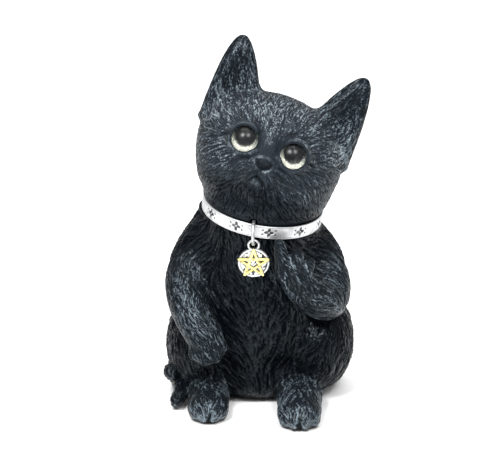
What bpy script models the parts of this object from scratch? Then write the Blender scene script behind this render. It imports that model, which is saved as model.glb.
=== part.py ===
"""Seated kitten figurine, about 100 mm tall, with a metal collar and a hanging star charm.

The body is an assembly of thin-walled and solid castings: a hollow torso, a hollow
head, two ears, two forelegs, two hind feet and a tail. Glass cabochon eyes sit over
painted iris discs, a metal band goes round the neck, and a jump ring on the band
carries a round charm with a star on it. Four felt pads let it stand.

Frame: +Z up, the kitten faces -Y, its own left side is +X. Units in the lists below
are millimetres; everything is turned into metres when the meshes are made.
"""

import math

import bmesh
import bpy
from mathutils import Matrix, Vector

# ---------------------------------------------------------------- dimensions (mm)
MM = 0.001
SHIFT = Vector((-2.944, 6.256, 0.0))  # moves the drawing so its box is centred over the origin
GAP = 0.3  # clearance between neighbouring pieces
UNDERSIDE = 0.3  # height of the castings above the surface; the felt pads reach 0

HEAD_CENTRE = Vector((3.1, -3.0, 66.5))
HEAD_PITCH = 20.0  # degrees, face tipped back
HEAD_ROLL = 19.7  # degrees, crown leaning to the kitten's left

FACE_MIDLINE = -1.0  # the face looks a little to its right of the skull
EYE_SPACING = 14.6
EYE_HEIGHT = 2.7
EYE_SPLAY = 8.0
EYE_RADIUS = 3.6
EYE_FRONT = 14.4  # apex of the dome in front of the head's centre
EYE_DOME = 4.3  # radius of the dome's sphere
EYE_THICK = 3.4
IRIS_RADIUS = 3.35
IRIS_THICK = 0.5

COLLAR_CENTRE = Vector((1.35, -1.0, 51.8))
COLLAR_RADIUS = 16.1  # middle of the band's thickness
COLLAR_THICK = 0.5
COLLAR_HEIGHT = 3.6
COLLAR_ROLL = 8.4
COLLAR_TIP = 4.6

RING_X = -1.1
RING_MAJOR = 3.075
RING_WIRE = 0.425
RING_DROP = 2.2  # ring centre under the middle of the band's rounded top edge

EYELET_HOLE = 1.05
EYELET_WIRE = 0.36
CHARM_RADIUS = 4.25
CHARM_THICK = 0.9
CHARM_DROP = 5.3  # disc centre under the eyelet's centre
CHARM_TILT = 8.0  # degrees, lower rim standing forward
STAR_RADIUS = 4.55
STAR_INNER = 1.85
STAR_THICK = 0.5

PAD_THICK = 0.9

# Rounded masses of the castings: (centre), (radii)
TORSO_MASSES = [
    ((0.3, 2.5, 20.0), (21.0, 20.5, 19.0)),  # belly and rump
    ((0.2, -0.2, 6.4), (20.4, 16.2, 8.6)),  # seat
    ((0.0, 7.5, 30.0), (15.5, 12.5, 20.0)),  # back
    ((0.0, 0.0, 30.0), (20.0, 16.6, 15.0)),  # ribs
    ((0.0, 1.2, 37.0), (18.4, 15.2, 15.5)),  # chest
    ((-15.0, -1.0, 13.0), (9.9, 16.0, 13.4)),  # right haunch
    ((16.3, -1.5, 14.2), (10.0, 16.0, 13.6)),  # left haunch
    ((-13.7, 1.0, 35.5), (9.0, 10.5, 12.0)),  # right shoulder
    ((13.6, 1.0, 35.5), (9.0, 10.5, 12.0)),  # left shoulder
]
NECK = [(0.4, 0.6, 40.0, 16.2), (1.1, -0.3, 48.0, 15.9), (1.6, -1.0, 57.0, 15.4)]
TORSO_HOLLOW = [
    ((0.2, 3.0, 20.5), (16.0, 15.5, 16.0)),
    ((0.0, 5.0, 32.0), (12.5, 10.5, 14.0)),
]
NECK_BORE = 7.0
VENT_RADIUS = 5.0

# The head's masses are in its own axes: across, up, forward
HEAD_MASSES = [
    ((-0.2, 2.4, -3.2), (20.1, 15.3, 16.8)),  # skull
    ((-7.6, -3.7, -1.5), (11.2, 11.6, 13.0)),  # right cheek
    ((7.6, -4.0, -1.5), (11.1, 11.9, 13.0)),  # left cheek
    ((-8.3, 2.6, 7.4), (5.8, 5.4, 6.2)),  # right eyelids
    ((6.3, 2.6, 7.4), (5.8, 5.4, 6.2)),  # left eyelids
    ((-3.6, -6.2, 9.2), (4.4, 4.0, 6.2)),  # right half of the muzzle
    ((1.6, -6.2, 9.2), (4.4, 4.0, 6.2)),  # left half of the muzzle
    ((-1.2, -0.6, 11.2), (3.0, 5.6, 4.2)),  # bridge of the nose
    ((-1.0, -2.3, 14.2), (2.0, 1.6, 2.4)),  # nose tip
    ((-1.0, -10.0, 8.0), (4.4, 3.0, 5.4)),  # chin
]
HEAD_RUFF = ((1.9, -1.8, 55.5), (16.2, 15.4, 8.0))
HEAD_HOLLOW = ((0.0, 0.4, -4.6), (14.2, 11.8, 11.6))

# Limbs as centre lines with a radius at each point: x, y, z, r
LOWERED_FORELEG = [
    (-16.2, 0.5, 37.8, 6.3),
    (-19.2, -5.0, 34.0, 6.0),
    (-19.4, -12.0, 30.0, 5.5),
    (-17.0, -17.5, 25.5, 5.1),
    (-14.0, -20.5, 21.2, 4.9),
]
LOWERED_TOES = [
    (-9.9, -22.4, 19.6, 1.9),
    (-11.6, -24.0, 17.6, 2.0),
    (-14.4, -24.2, 16.9, 2.0),
    (-16.9, -22.8, 17.6, 1.8),
]
RAISED_FORELEG = [
    (16.4, 0.5, 37.4, 6.3),
    (19.6, -5.5, 32.3, 6.0),
    (19.0, -12.5, 28.6, 5.7),
    (14.2, -17.2, 32.5, 5.1),
    (10.4, -19.6, 37.8, 4.5),
    (8.6, -20.4, 41.2, 3.9),
]
LONG_TOE = [
    (7.4, -21.4, 40.0, 2.7),
    (6.4, -21.6, 45.0, 2.1),
    (5.7, -21.0, 48.4, 1.55),
]
FOLDED_TOES = [
    [(9.8, -21.4, 41.6, 2.4), (10.6, -21.2, 45.2, 1.8)],
    [(12.2, -20.2, 39.6, 2.4), (13.8, -19.4, 42.4, 1.8)],
    [(14.2, -18.6, 36.0, 2.3), (16.4, -17.2, 37.2, 1.6)],
]
RIGHT_FOOT_MASSES = [
    ((-13.2, -17.0, 3.2), (5.7, 12.8, 4.3)),
    ((-13.3, -25.0, 2.8), (5.4, 6.4, 3.3)),
]
LEFT_FOOT_MASSES = [
    ((11.3, -20.0, 3.6), (6.2, 14.2, 4.7)),
    ((11.2, -29.6, 3.1), (6.0, 7.0, 3.7)),
]
TAIL = [
    (-4.0, 20.5, 5.0, 3.6),
    (-13.0, 19.0, 4.4, 3.5),
    (-19.2, 13.0, 4.2, 3.3),
    (-21.4, 6.0, 4.2, 3.1),
    (-21.6, -1.0, 4.2, 2.9),
    (-20.4, -8.0, 3.9, 2.7),
    (-20.4, -13.0, 3.4, 2.4),
    (-21.5, -17.0, 2.7, 2.0),
    (-22.0, -18.8, 2.3, 1.7),
]

# ---------------------------------------------------------------- scene helpers
for old in list(bpy.data.objects):
    bpy.data.objects.remove(old, do_unlink=True)

PARTS = bpy.data.collections.new("cat_figurine")
HELPERS = bpy.data.collections.new("cutters")
bpy.context.scene.collection.children.link(PARTS)
bpy.context.scene.collection.children.link(HELPERS)


def finish_of(name, colour, roughness, metallic=0.0, **extra):
    found = bpy.data.materials.get(name) or bpy.data.materials.new(name)
    found.use_nodes = True
    shader = found.node_tree.nodes["Principled BSDF"]
    shader.inputs["Base Color"].default_value = (*colour, 1.0)
    shader.inputs["Roughness"].default_value = roughness
    shader.inputs["Metallic"].default_value = metallic
    for key, value in extra.items():
        shader.inputs[key.replace("_", " ")].default_value = value
    return found


def helper(name, bm):
    mesh = bpy.data.meshes.new(name)
    bm.to_mesh(mesh)
    bm.free()
    obj = bpy.data.objects.new(name, mesh)
    HELPERS.objects.link(obj)
    obj.hide_render = True
    obj.display_type = "WIRE"
    return obj


def part(obj, name, finish):
    """Turns a helper into a finished piece."""
    HELPERS.objects.unlink(obj)
    PARTS.objects.link(obj)
    obj.name = name
    obj.data.name = name
    obj.hide_render = False
    obj.display_type = "TEXTURED"
    obj.data.materials.clear()
    obj.data.materials.append(finish)
    obj.data.shade_smooth()
    obj.data.set_sharp_from_angle(angle=math.radians(40))
    return obj


def bake(obj):
    """Applies the object's modifiers and leaves one clean mesh."""
    bpy.context.view_layer.update()
    graph = bpy.context.evaluated_depsgraph_get()
    mesh = bpy.data.meshes.new_from_object(obj.evaluated_get(graph))
    old = obj.data
    obj.modifiers.clear()
    obj.data = mesh
    bpy.data.meshes.remove(old)
    return obj


def drop(*objects):
    for obj in objects:
        bpy.data.objects.remove(obj, do_unlink=True)


def at(x, y, z):
    return (Vector((x, y, z)) + SHIFT) * MM


def ellipsoid(centre, radii, frame=None, segments=36, rings=22):
    """A ball scaled to the three radii; frame turns it and places its own axes."""
    place = Matrix.Translation(Vector(centre))
    place = (frame or Matrix.Identity(4)) @ place @ Matrix.Diagonal((*radii, 1.0))
    place = Matrix.Diagonal((MM, MM, MM, 1.0)) @ Matrix.Translation(SHIFT) @ place
    bm = bmesh.new()
    bmesh.ops.create_uvsphere(
        bm, u_segments=segments, v_segments=rings, radius=1.0, matrix=place
    )
    if place.determinant() < 0:
        bmesh.ops.reverse_faces(bm, faces=bm.faces)
    return helper("mass", bm)


def limb(points):
    """A tapering tube along the points, with a ball at each point."""
    data = bpy.data.curves.new("limb", "CURVE")
    data.dimensions = "3D"
    data.bevel_depth = 1.0
    data.bevel_resolution = 5
    data.use_fill_caps = True
    data.resolution_u = 6
    spline = data.splines.new("NURBS")
    spline.points.add(len(points) - 1)
    spline.order_u = 3
    spline.use_endpoint_u = True
    for point, (x, y, z, r) in zip(spline.points, points):
        point.co = (*at(x, y, z), 1.0)
        point.radius = r * MM
    curve = bpy.data.objects.new("limb", data)
    HELPERS.objects.link(curve)
    bpy.context.view_layer.update()
    graph = bpy.context.evaluated_depsgraph_get()
    mesh = bpy.data.meshes.new_from_object(curve.evaluated_get(graph))
    drop(curve)
    bm = bmesh.new()
    bm.from_mesh(mesh)
    bmesh.ops.remove_doubles(bm, verts=bm.verts, dist=1e-6)
    bmesh.ops.recalc_face_normals(bm, faces=bm.faces)
    bpy.data.meshes.remove(mesh)
    ends = [ellipsoid((x, y, z), (r, r, r), None, 20, 12) for x, y, z, r in (points[0], points[-1])]
    return [helper("limb", bm), *ends]


def joined(name, objects):
    bm = bmesh.new()
    for obj in objects:
        bm.from_mesh(obj.data)
    drop(*objects)
    return helper(name, bm)


def fused(name, objects, voxel, rounds, triangles):
    """One skin over overlapping masses: remeshed, smoothed, then thinned out."""
    obj = joined(name, objects)
    skin = obj.modifiers.new("skin", "REMESH")
    skin.mode = "VOXEL"
    skin.voxel_size = voxel * MM
    if rounds:
        soften = obj.modifiers.new("soften", "SMOOTH")
        soften.factor = 0.5
        soften.iterations = rounds
    bake(obj)
    return thinned(obj, triangles)


def thinned(obj, triangles):
    obj.data.calc_loop_triangles()
    thin = obj.modifiers.new("thin", "DECIMATE")
    thin.ratio = min(1.0, triangles / len(obj.data.loop_triangles))
    return bake(obj)


def copy_of(obj, name, grow=0.0):
    """A copy, swollen along its normals by grow millimetres."""
    made = bpy.data.objects.new(name, obj.data.copy())
    HELPERS.objects.link(made)
    made.hide_render = True
    made.display_type = "WIRE"
    if grow:
        swell = made.modifiers.new("swell", "DISPLACE")
        swell.mid_level = 0.0
        swell.strength = grow * MM
        bake(made)
    return made


def boolean(obj, other, operation="DIFFERENCE", keep=False):
    step = obj.modifiers.new(operation.lower(), "BOOLEAN")
    step.operation = operation
    step.solver = "EXACT"
    step.object = other
    bake(obj)
    if not keep:
        drop(other)
    return obj


def largest_island(obj):
    """Removes crumbs that a cut left beside the piece."""
    bm = bmesh.new()
    bm.from_mesh(obj.data)
    left, islands = set(bm.verts), []
    while left:
        seed = left.pop()
        island, stack = {seed}, [seed]
        while stack:
            for edge in stack.pop().link_edges:
                for vert in edge.verts:
                    if vert in left:
                        left.remove(vert)
                        island.add(vert)
                        stack.append(vert)
        islands.append(island)
    islands.sort(key=len)
    for island in islands[:-1]:
        bmesh.ops.delete(bm, geom=list(island), context="VERTS")
    bm.to_mesh(obj.data)
    bm.free()
    return obj


def box(centre, size, turn=None):
    """A box of the given size in millimetres, turned about its own centre."""
    place = Matrix.Translation(at(*centre)) @ (turn or Matrix.Identity(4))
    bm = bmesh.new()
    bmesh.ops.create_cube(
        bm, size=1.0, matrix=place @ Matrix.Diagonal((*[s * MM for s in size], 1.0))
    )
    return helper("box", bm)


def rod(centre, radius, length, turn=None, segments=40, top=None):
    """A round bar along its own Z, centred on the point."""
    place = Matrix.Translation(at(*centre)) @ (turn or Matrix.Identity(4))
    bm = bmesh.new()
    bmesh.ops.create_cone(
        bm,
        cap_ends=True,
        segments=segments,
        radius1=radius * MM,
        radius2=(radius if top is None else top) * MM,
        depth=length * MM,
        matrix=place,
    )
    return helper("rod", bm)


def turned(profile, place, segments=32):
    """A solid of revolution about local Z; the profile runs down its outer side."""
    bm = bmesh.new()
    verts = [bm.verts.new((r * MM, 0.0, z * MM)) for r, z in profile]
    for a, b in zip(verts, verts[1:]):
        bm.edges.new((a, b))
    obj = helper("turned", bm)
    screw = obj.modifiers.new("screw", "SCREW")
    screw.axis = "Z"
    screw.steps = screw.render_steps = segments
    screw.use_merge_vertices = True
    screw.merge_threshold = 1e-6
    bake(obj)
    obj.data.transform(place)
    bm = bmesh.new()
    bm.from_mesh(obj.data)
    bmesh.ops.remove_doubles(bm, verts=bm.verts, dist=1e-6)
    bmesh.ops.recalc_face_normals(bm, faces=bm.faces)
    bm.to_mesh(obj.data)
    bm.free()
    return obj


# ---------------------------------------------------------------- frames of the head and collar
pitch, roll = math.radians(HEAD_PITCH), math.radians(HEAD_ROLL)
FORWARD = Vector((0.0, -math.cos(pitch), math.sin(pitch)))
LEVEL_UP = Vector((0.0, math.sin(pitch), math.cos(pitch)))
ACROSS = Vector((math.cos(roll), 0, 0)) - LEVEL_UP * math.sin(roll)
UP = Vector((math.sin(roll), 0, 0)) + LEVEL_UP * math.cos(roll)
HEAD_FRAME = Matrix.Translation(HEAD_CENTRE) @ Matrix((ACROSS, UP, FORWARD)).transposed().to_4x4()

COLLAR_TURN = (
    Matrix.Rotation(math.radians(COLLAR_ROLL), 4, "Y")
    @ Matrix.Rotation(math.radians(COLLAR_TIP), 4, "X")
)
COLLAR_NORMAL = (COLLAR_TURN @ Vector((0, 0, 1))).normalized()


def collar_point(x, along):
    """The band's middle surface on the front at this x, moved along the band's axis."""
    right = COLLAR_TURN @ Vector((1, 0, 0))
    front = COLLAR_TURN @ Vector((0, -1, 0))
    angle = math.asin((x - COLLAR_CENTRE.x) / COLLAR_RADIUS)
    return (
        COLLAR_CENTRE
        + (right * math.sin(angle) + front * math.cos(angle)) * COLLAR_RADIUS
        + COLLAR_NORMAL * along
    )


# ---------------------------------------------------------------- finishes
FUR = finish_of("carved_black_glaze", (0.012, 0.014, 0.018), 0.42)
FUR_FACE = finish_of("brushed_black_glaze", (0.028, 0.031, 0.036), 0.45)
GLASS = finish_of("eye_glass", (0.92, 0.94, 0.92), 0.03, 0.0, Transmission_Weight=1.0, IOR=1.5)
IRIS = finish_of("iris_paint", (0.52, 0.55, 0.46), 0.3)
SILVER = finish_of("silver_plate", (0.86, 0.87, 0.88), 0.25, 1.0)
GOLD = finish_of("gold_plate", (0.83, 0.68, 0.22), 0.28, 1.0)
FELT = finish_of("black_felt", (0.02, 0.02, 0.022), 0.95)

# ---------------------------------------------------------------- torso
torso_skin = fused(
    "torso_skin",
    [ellipsoid(c, r) for c, r in TORSO_MASSES] + limb(NECK),
    1.1, 14, 1500,
)
torso_clear = copy_of(torso_skin, "torso_clear", GAP)


def seam_box(side):
    """Everything on one side of the neck seam, which runs behind the band."""
    centre = COLLAR_CENTRE + COLLAR_NORMAL * side * (40.0 - GAP / 2)
    return box(centre, (120.0, 120.0, 80.0), COLLAR_TURN)


def ring_pocket():
    """Room in the throat for the back of the jump ring."""
    front = collar_point(RING_X, -0.6)
    return rod((front.x, front.y + 1.2, front.z - 0.6), 4.6, 3.2, Matrix.Rotation(math.radians(90), 4, "Y"), 28)


def band_seat():
    """The channel round the neck that the collar band lies in."""
    deep = COLLAR_RADIUS - COLLAR_THICK / 2 - GAP
    tall = COLLAR_HEIGHT / 2 + GAP
    profile = [(24.0, tall), (24.0, -tall), (deep, -tall), (deep, tall), (24.0, tall)]
    return turned(profile, Matrix.Translation(at(*COLLAR_CENTRE)) @ COLLAR_TURN, 56)


torso = copy_of(torso_skin, "torso")
hollow = fused("torso_hollow", [ellipsoid(c, r) for c, r in TORSO_HOLLOW], 1.4, 6, 360)
boolean(hollow, rod((0.9, 0.6, 47.0), NECK_BORE, 24.0, None, 24), "UNION")
boolean(hollow, rod((0.0, 3.0, 2.0), VENT_RADIUS, 12.0, None, 24), "UNION")
boolean(torso, hollow)
boolean(torso, seam_box(1))
boolean(torso, box((0, 0, UNDERSIDE - 20.0), (160.0, 160.0, 40.0)))
boolean(torso, ring_pocket())
boolean(torso, band_seat())

# ---------------------------------------------------------------- head
head_skin = fused(
    "head_skin",
    [ellipsoid(c, r, HEAD_FRAME) for c, r in HEAD_MASSES] + [ellipsoid(*HEAD_RUFF)],
    0.9, 6, 1700,
)
head_clear = copy_of(head_skin, "head_clear", GAP)
head = copy_of(head_skin, "head")
head_hollow = ellipsoid(*HEAD_HOLLOW, HEAD_FRAME, 20, 12)
boolean(head_hollow, rod((1.0, -0.2, 55.0), NECK_BORE, 16.0, None, 24), "UNION")
boolean(head, head_hollow)
boolean(head, seam_box(-1))
boolean(head, ring_pocket())
boolean(head, band_seat())


def eye_frame(side):
    """Axes of one eye: local Z looks out of the head."""
    turn = Matrix.Rotation(math.radians(side * EYE_SPLAY), 4, "Y")
    spot = Matrix.Translation((FACE_MIDLINE + side * EYE_SPACING / 2, EYE_HEIGHT, EYE_FRONT))
    return (
        Matrix.Diagonal((MM, MM, MM, 1)) @ Matrix.Translation(SHIFT) @ HEAD_FRAME @ spot @ turn
        @ Matrix.Diagonal((1 / MM, 1 / MM, 1 / MM, 1))
    )


sagitta = EYE_DOME - math.sqrt(EYE_DOME**2 - EYE_RADIUS**2)
dome = []
for i in range(6):
    angle = math.asin(EYE_RADIUS / EYE_DOME) * i / 5
    dome.append((EYE_DOME * math.sin(angle), EYE_DOME * (math.cos(angle) - 1)))
socket_depth = EYE_THICK + GAP + IRIS_THICK + GAP

for side, name in ((1, "left"), (-1, "right")):
    frame = eye_frame(side)
    socket = turned(
        [(0.0, 6.0), (EYE_RADIUS + GAP, 6.0), (EYE_RADIUS + GAP, -socket_depth), (0.0, -socket_depth)],
        frame, 22,
    )
    boolean(head, socket)
    glass = turned(dome + [(EYE_RADIUS, -EYE_THICK), (0.0, -EYE_THICK)], frame, 22)
    part(glass, f"{name}_eye_glass", GLASS)
    back = -EYE_THICK - GAP
    iris = turned(
        [(0.0, back), (IRIS_RADIUS - 0.1, back), (IRIS_RADIUS, back - 0.1),
         (IRIS_RADIUS, back - IRIS_THICK), (0.0, back - IRIS_THICK)],
        frame, 22,
    )
    part(iris, f"{name}_eye_iris", IRIS)

# ---------------------------------------------------------------- ears


def ear_mass(base, tip, width, depth, bow):
    """A flattened cone with a blunt, rounded point, bowed backwards along its length."""
    base, tip = Vector(base), Vector(tip)
    axis = tip - base
    length = axis.length
    axis.normalize()
    thick = Vector((0, 0, 1)) - axis * axis.z
    thick.normalize()
    wide = axis.cross(thick)
    profile = [(i / 9, 1 - (i / 9) ** 2) for i in range(10)]
    profile += [(0.92, -0.1), (0.72, -0.19)]
    obj = turned([*profile, (0.0, -0.24)], Matrix.Identity(4), 22)
    for vert in obj.data.vertices:
        x, y, along = (value / MM for value in vert.co)
        local = (
            base
            + axis * (length * along)
            + wide * (x * width)
            + thick * (y * depth - bow * 4 * along * (1 - along))
        )
        vert.co = (HEAD_FRAME @ local + SHIFT) * MM
    bm = bmesh.new()
    bm.from_mesh(obj.data)
    bmesh.ops.recalc_face_normals(bm, faces=bm.faces)
    bm.to_mesh(obj.data)
    bm.free()
    return obj


for side, name in ((1, "left"), (-1, "right")):
    ear = ear_mass((side * 13.0, 6.6, -3.0), (side * 17.7, 29.2, -3.0), 8.8, 4.8, 0.6)
    cup = ear_mass((side * 13.6, 7.2, 2.8), (side * 17.7, 27.0, 0.6), 6.7, 4.7, 0.6)
    boolean(ear, cup)
    boolean(ear, head_clear, keep=True)
    largest_island(ear)
    thinned(ear, 380)
    part(ear, f"{name}_ear", FUR_FACE)

# ---------------------------------------------------------------- limbs and tail
raised = fused(
    "raised",
    limb(RAISED_FORELEG) + limb(LONG_TOE) + [p for toe in FOLDED_TOES for p in limb(toe)],
    0.6, 5, 1000,
)
boolean(raised, torso_clear, keep=True)
part(largest_island(raised), "raised_foreleg", FUR)

lowered = fused(
    "lowered",
    limb(LOWERED_FORELEG)
    + [ellipsoid((x, y, z), (r, r, r), None, 20, 12) for x, y, z, r in LOWERED_TOES],
    0.6, 5, 720,
)
boolean(lowered, torso_clear, keep=True)
part(largest_island(lowered), "lowered_foreleg", FUR)

feet = {}
for name, masses, spread in (
    ("right_hind_foot", RIGHT_FOOT_MASSES, (-13.2, -28.6, 4.4)),
    ("left_hind_foot", LEFT_FOOT_MASSES, (11.3, -34.0, 4.9)),
):
    shapes = [ellipsoid(c, r) for c, r in masses]
    x, y, reach = spread
    for i in range(4):
        step = (i - 1.5) / 1.5
        shapes.append(
            ellipsoid((x + step * reach * 0.8, y + 2.6 * step * step, 2.4), (1.8, 3.0, 2.4), None, 18, 12)
        )
    foot = fused(name, shapes, 0.6, 5, 460)
    boolean(foot, torso_clear, keep=True)
    boolean(foot, box((0, 0, UNDERSIDE - 20.0), (160.0, 160.0, 40.0)))
    feet[name] = largest_island(foot)

tail = fused("tail", limb(TAIL), 0.6, 4, 520)
boolean(tail, torso_clear, keep=True)
boolean(tail, copy_of(feet["right_hind_foot"], "foot_clear", GAP))
boolean(tail, box((0, 0, UNDERSIDE - 20.0), (160.0, 160.0, 40.0)))
part(largest_island(tail), "tail", FUR)

# ---------------------------------------------------------------- felt pads in their recesses
PADS = {
    "felt_pad_front_left": (11.4, -24.0, 3.4),
    "felt_pad_front_right": (-13.4, -20.6, 3.0),
    "felt_pad_rear_left": (11.0, 8.0, 3.4),
    "felt_pad_rear_right": (-10.5, 8.0, 3.4),
}
hosts = {
    "felt_pad_front_left": feet["left_hind_foot"],
    "felt_pad_front_right": feet["right_hind_foot"],
    "felt_pad_rear_left": torso,
    "felt_pad_rear_right": torso,
}
for name, (x, y, radius) in PADS.items():
    top = PAD_THICK + GAP
    boolean(hosts[name], rod((x, y, top - 5.0), radius + GAP, 10.0, None, 20))
    pad = rod((x, y, PAD_THICK / 2), radius, PAD_THICK, None, 20)
    part(pad, name, FELT)

for name, foot in feet.items():
    part(largest_island(foot), name, FUR)
part(largest_island(torso), "torso_shell", FUR)
part(largest_island(head), "head_shell", FUR_FACE)

# ---------------------------------------------------------------- collar band
half, thick = COLLAR_HEIGHT / 2, COLLAR_THICK / 2
outline = []
for i in range(9):  # closed section with both edges rolled round
    angle = math.pi * i / 8
    outline.append((COLLAR_RADIUS + thick * math.cos(angle), half - thick + thick * math.sin(angle)))
for i in range(9):
    angle = math.pi + math.pi * i / 8
    outline.append((COLLAR_RADIUS + thick * math.cos(angle), -half + thick + thick * math.sin(angle)))
band_place = Matrix.Translation(at(*COLLAR_CENTRE)) @ COLLAR_TURN
band = turned([*outline[:9:4], *outline[9::4], outline[0]], band_place, 56)
part(band, "collar_band", SILVER)

# ---------------------------------------------------------------- jump ring and charm
pivot = collar_point(RING_X, half - thick)
ring_centre = pivot - Vector((0, 0, RING_DROP))


def torus(centre, axis_turn, major, minor, around, across):
    profile = []
    for i in range(across + 1):
        angle = 2 * math.pi * i / across
        profile.append((major + minor * math.cos(angle), minor * math.sin(angle)))
    return turned(profile, Matrix.Translation(at(*centre)) @ axis_turn, around)


FACING_X = Matrix.Rotation(math.radians(90), 4, "Y")
part(torus(ring_centre, FACING_X, RING_MAJOR, RING_WIRE, 28, 8), "jump_ring", SILVER)

wire_low = ring_centre - Vector((0, 0, RING_MAJOR))
eyelet = wire_low - Vector((0, 0, EYELET_HOLE - RING_WIRE - 0.2))
charm_turn = Matrix.Rotation(math.radians(-CHARM_TILT), 4, "X")  # lower rim goes to -Y
facing = charm_turn @ Matrix.Rotation(math.radians(90), 4, "X")  # local Z looks to -Y


def on_charm(x, down, out):
    """A point of the charm: across, below the eyelet and out of its front."""
    return eyelet + charm_turn.to_3x3() @ Vector((x, -out, -down))


disc = rod(on_charm(0, CHARM_DROP, 0), CHARM_RADIUS, CHARM_THICK, facing, 32)
bm = bmesh.new()
bm.from_mesh(disc.data)
rims = [e for e in bm.edges if len(e.link_faces) == 2 and e.calc_face_angle() > 1.0]
bmesh.ops.bevel(bm, geom=rims, offset=0.18 * MM, segments=2, profile=0.6, affect="EDGES")
bm.to_mesh(disc.data)
bm.free()
loop = torus(eyelet, facing, EYELET_HOLE + EYELET_WIRE, EYELET_WIRE, 20, 6)
boolean(disc, loop, "UNION")
part(disc, "charm_disc", SILVER)

bm = bmesh.new()
centre = on_charm(0, CHARM_DROP, CHARM_THICK / 2 + GAP)
for layer, shrink in ((0.0, 1.0), (STAR_THICK, 0.72)):
    for i in range(10):
        reach = (STAR_RADIUS if i % 2 == 0 else STAR_INNER) * shrink
        angle = math.pi / 2 + math.pi * i / 5
        spot = centre + charm_turn.to_3x3() @ Vector(
            (reach * math.cos(angle), -layer, reach * math.sin(angle))
        )
        bm.verts.new(at(*spot))
bm.verts.ensure_lookup_table()
low, high = bm.verts[:10], bm.verts[10:]
bm.faces.new(low)
bm.faces.new(list(reversed(high)))
for i in range(10):
    bm.faces.new((low[i], high[i], high[(i + 1) % 10], low[(i + 1) % 10]))
bmesh.ops.recalc_face_normals(bm, faces=bm.faces)
bmesh.ops.triangulate(bm, faces=bm.faces)
part(helper("star", bm), "charm_star", GOLD)

drop(torso_skin, torso_clear, head_skin, head_clear)
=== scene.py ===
import math

import bmesh
import bpy
import numpy as np
from mathutils import Matrix, Vector


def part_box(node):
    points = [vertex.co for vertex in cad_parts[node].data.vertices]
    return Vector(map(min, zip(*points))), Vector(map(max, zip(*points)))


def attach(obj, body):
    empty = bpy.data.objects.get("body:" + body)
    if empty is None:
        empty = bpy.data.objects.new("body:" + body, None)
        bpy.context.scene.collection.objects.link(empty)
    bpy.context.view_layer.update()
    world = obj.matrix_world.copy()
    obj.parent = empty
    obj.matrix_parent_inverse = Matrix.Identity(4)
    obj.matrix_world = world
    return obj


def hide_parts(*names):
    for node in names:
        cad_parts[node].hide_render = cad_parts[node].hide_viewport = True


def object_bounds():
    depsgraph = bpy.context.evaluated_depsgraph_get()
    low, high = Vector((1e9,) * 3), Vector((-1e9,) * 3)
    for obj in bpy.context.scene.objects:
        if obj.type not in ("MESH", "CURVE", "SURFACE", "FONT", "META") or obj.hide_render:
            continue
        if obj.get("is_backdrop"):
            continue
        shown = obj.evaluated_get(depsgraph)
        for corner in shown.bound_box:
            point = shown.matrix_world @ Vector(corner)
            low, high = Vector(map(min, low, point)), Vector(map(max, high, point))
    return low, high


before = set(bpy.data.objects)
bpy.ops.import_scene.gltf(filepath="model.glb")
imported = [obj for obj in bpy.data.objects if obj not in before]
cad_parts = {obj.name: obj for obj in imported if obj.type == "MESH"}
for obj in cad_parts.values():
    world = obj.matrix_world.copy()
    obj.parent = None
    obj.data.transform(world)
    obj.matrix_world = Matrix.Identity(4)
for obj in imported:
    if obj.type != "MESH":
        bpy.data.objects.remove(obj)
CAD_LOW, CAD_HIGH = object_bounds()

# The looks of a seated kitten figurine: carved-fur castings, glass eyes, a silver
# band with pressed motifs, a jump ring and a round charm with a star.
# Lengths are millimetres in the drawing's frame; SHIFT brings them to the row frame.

MM = 0.001
SHIFT = np.array([-2.944, 6.256, 0.0])
FINE = 1.0

# ------------------------------------------------------------------ drawing
HEAD_CENTRE = np.array([3.1, -3.0, 66.5])
PITCH, ROLL = math.radians(20.0), math.radians(19.7)
FORWARD = np.array([0.0, -math.cos(PITCH), math.sin(PITCH)])
LEVEL_UP = np.array([0.0, math.sin(PITCH), math.cos(PITCH)])
ACROSS = np.array([math.cos(ROLL), 0.0, 0.0]) - LEVEL_UP * math.sin(ROLL)
UP = np.array([math.sin(ROLL), 0.0, 0.0]) + LEVEL_UP * math.cos(ROLL)
HEAD_AXES = np.stack([ACROSS, UP, FORWARD], axis=1)

FACE_MIDLINE = -1.0  # the face looks a little to its right of the skull
EYE_SPACING, EYE_HEIGHT, EYE_SPLAY = 14.6, 2.7, 8.0
EYE_RADIUS, EYE_FRONT, EYE_DOME, EYE_THICK = 3.6, 14.4, 4.3, 3.4
IRIS_RADIUS = 3.35

COLLAR_CENTRE = np.array([1.35, -1.0, 51.8])
COLLAR_RADIUS, COLLAR_THICK, COLLAR_HEIGHT = 16.1, 0.5, 3.6
COLLAR_ROLL, COLLAR_TIP = 8.4, 4.6
_turn = (
    Matrix.Rotation(math.radians(COLLAR_ROLL), 3, "Y")
    @ Matrix.Rotation(math.radians(COLLAR_TIP), 3, "X")
)
COLLAR_AXES = np.array(_turn)  # columns: right, back, normal
COLLAR_NORMAL = COLLAR_AXES[:, 2]

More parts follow.
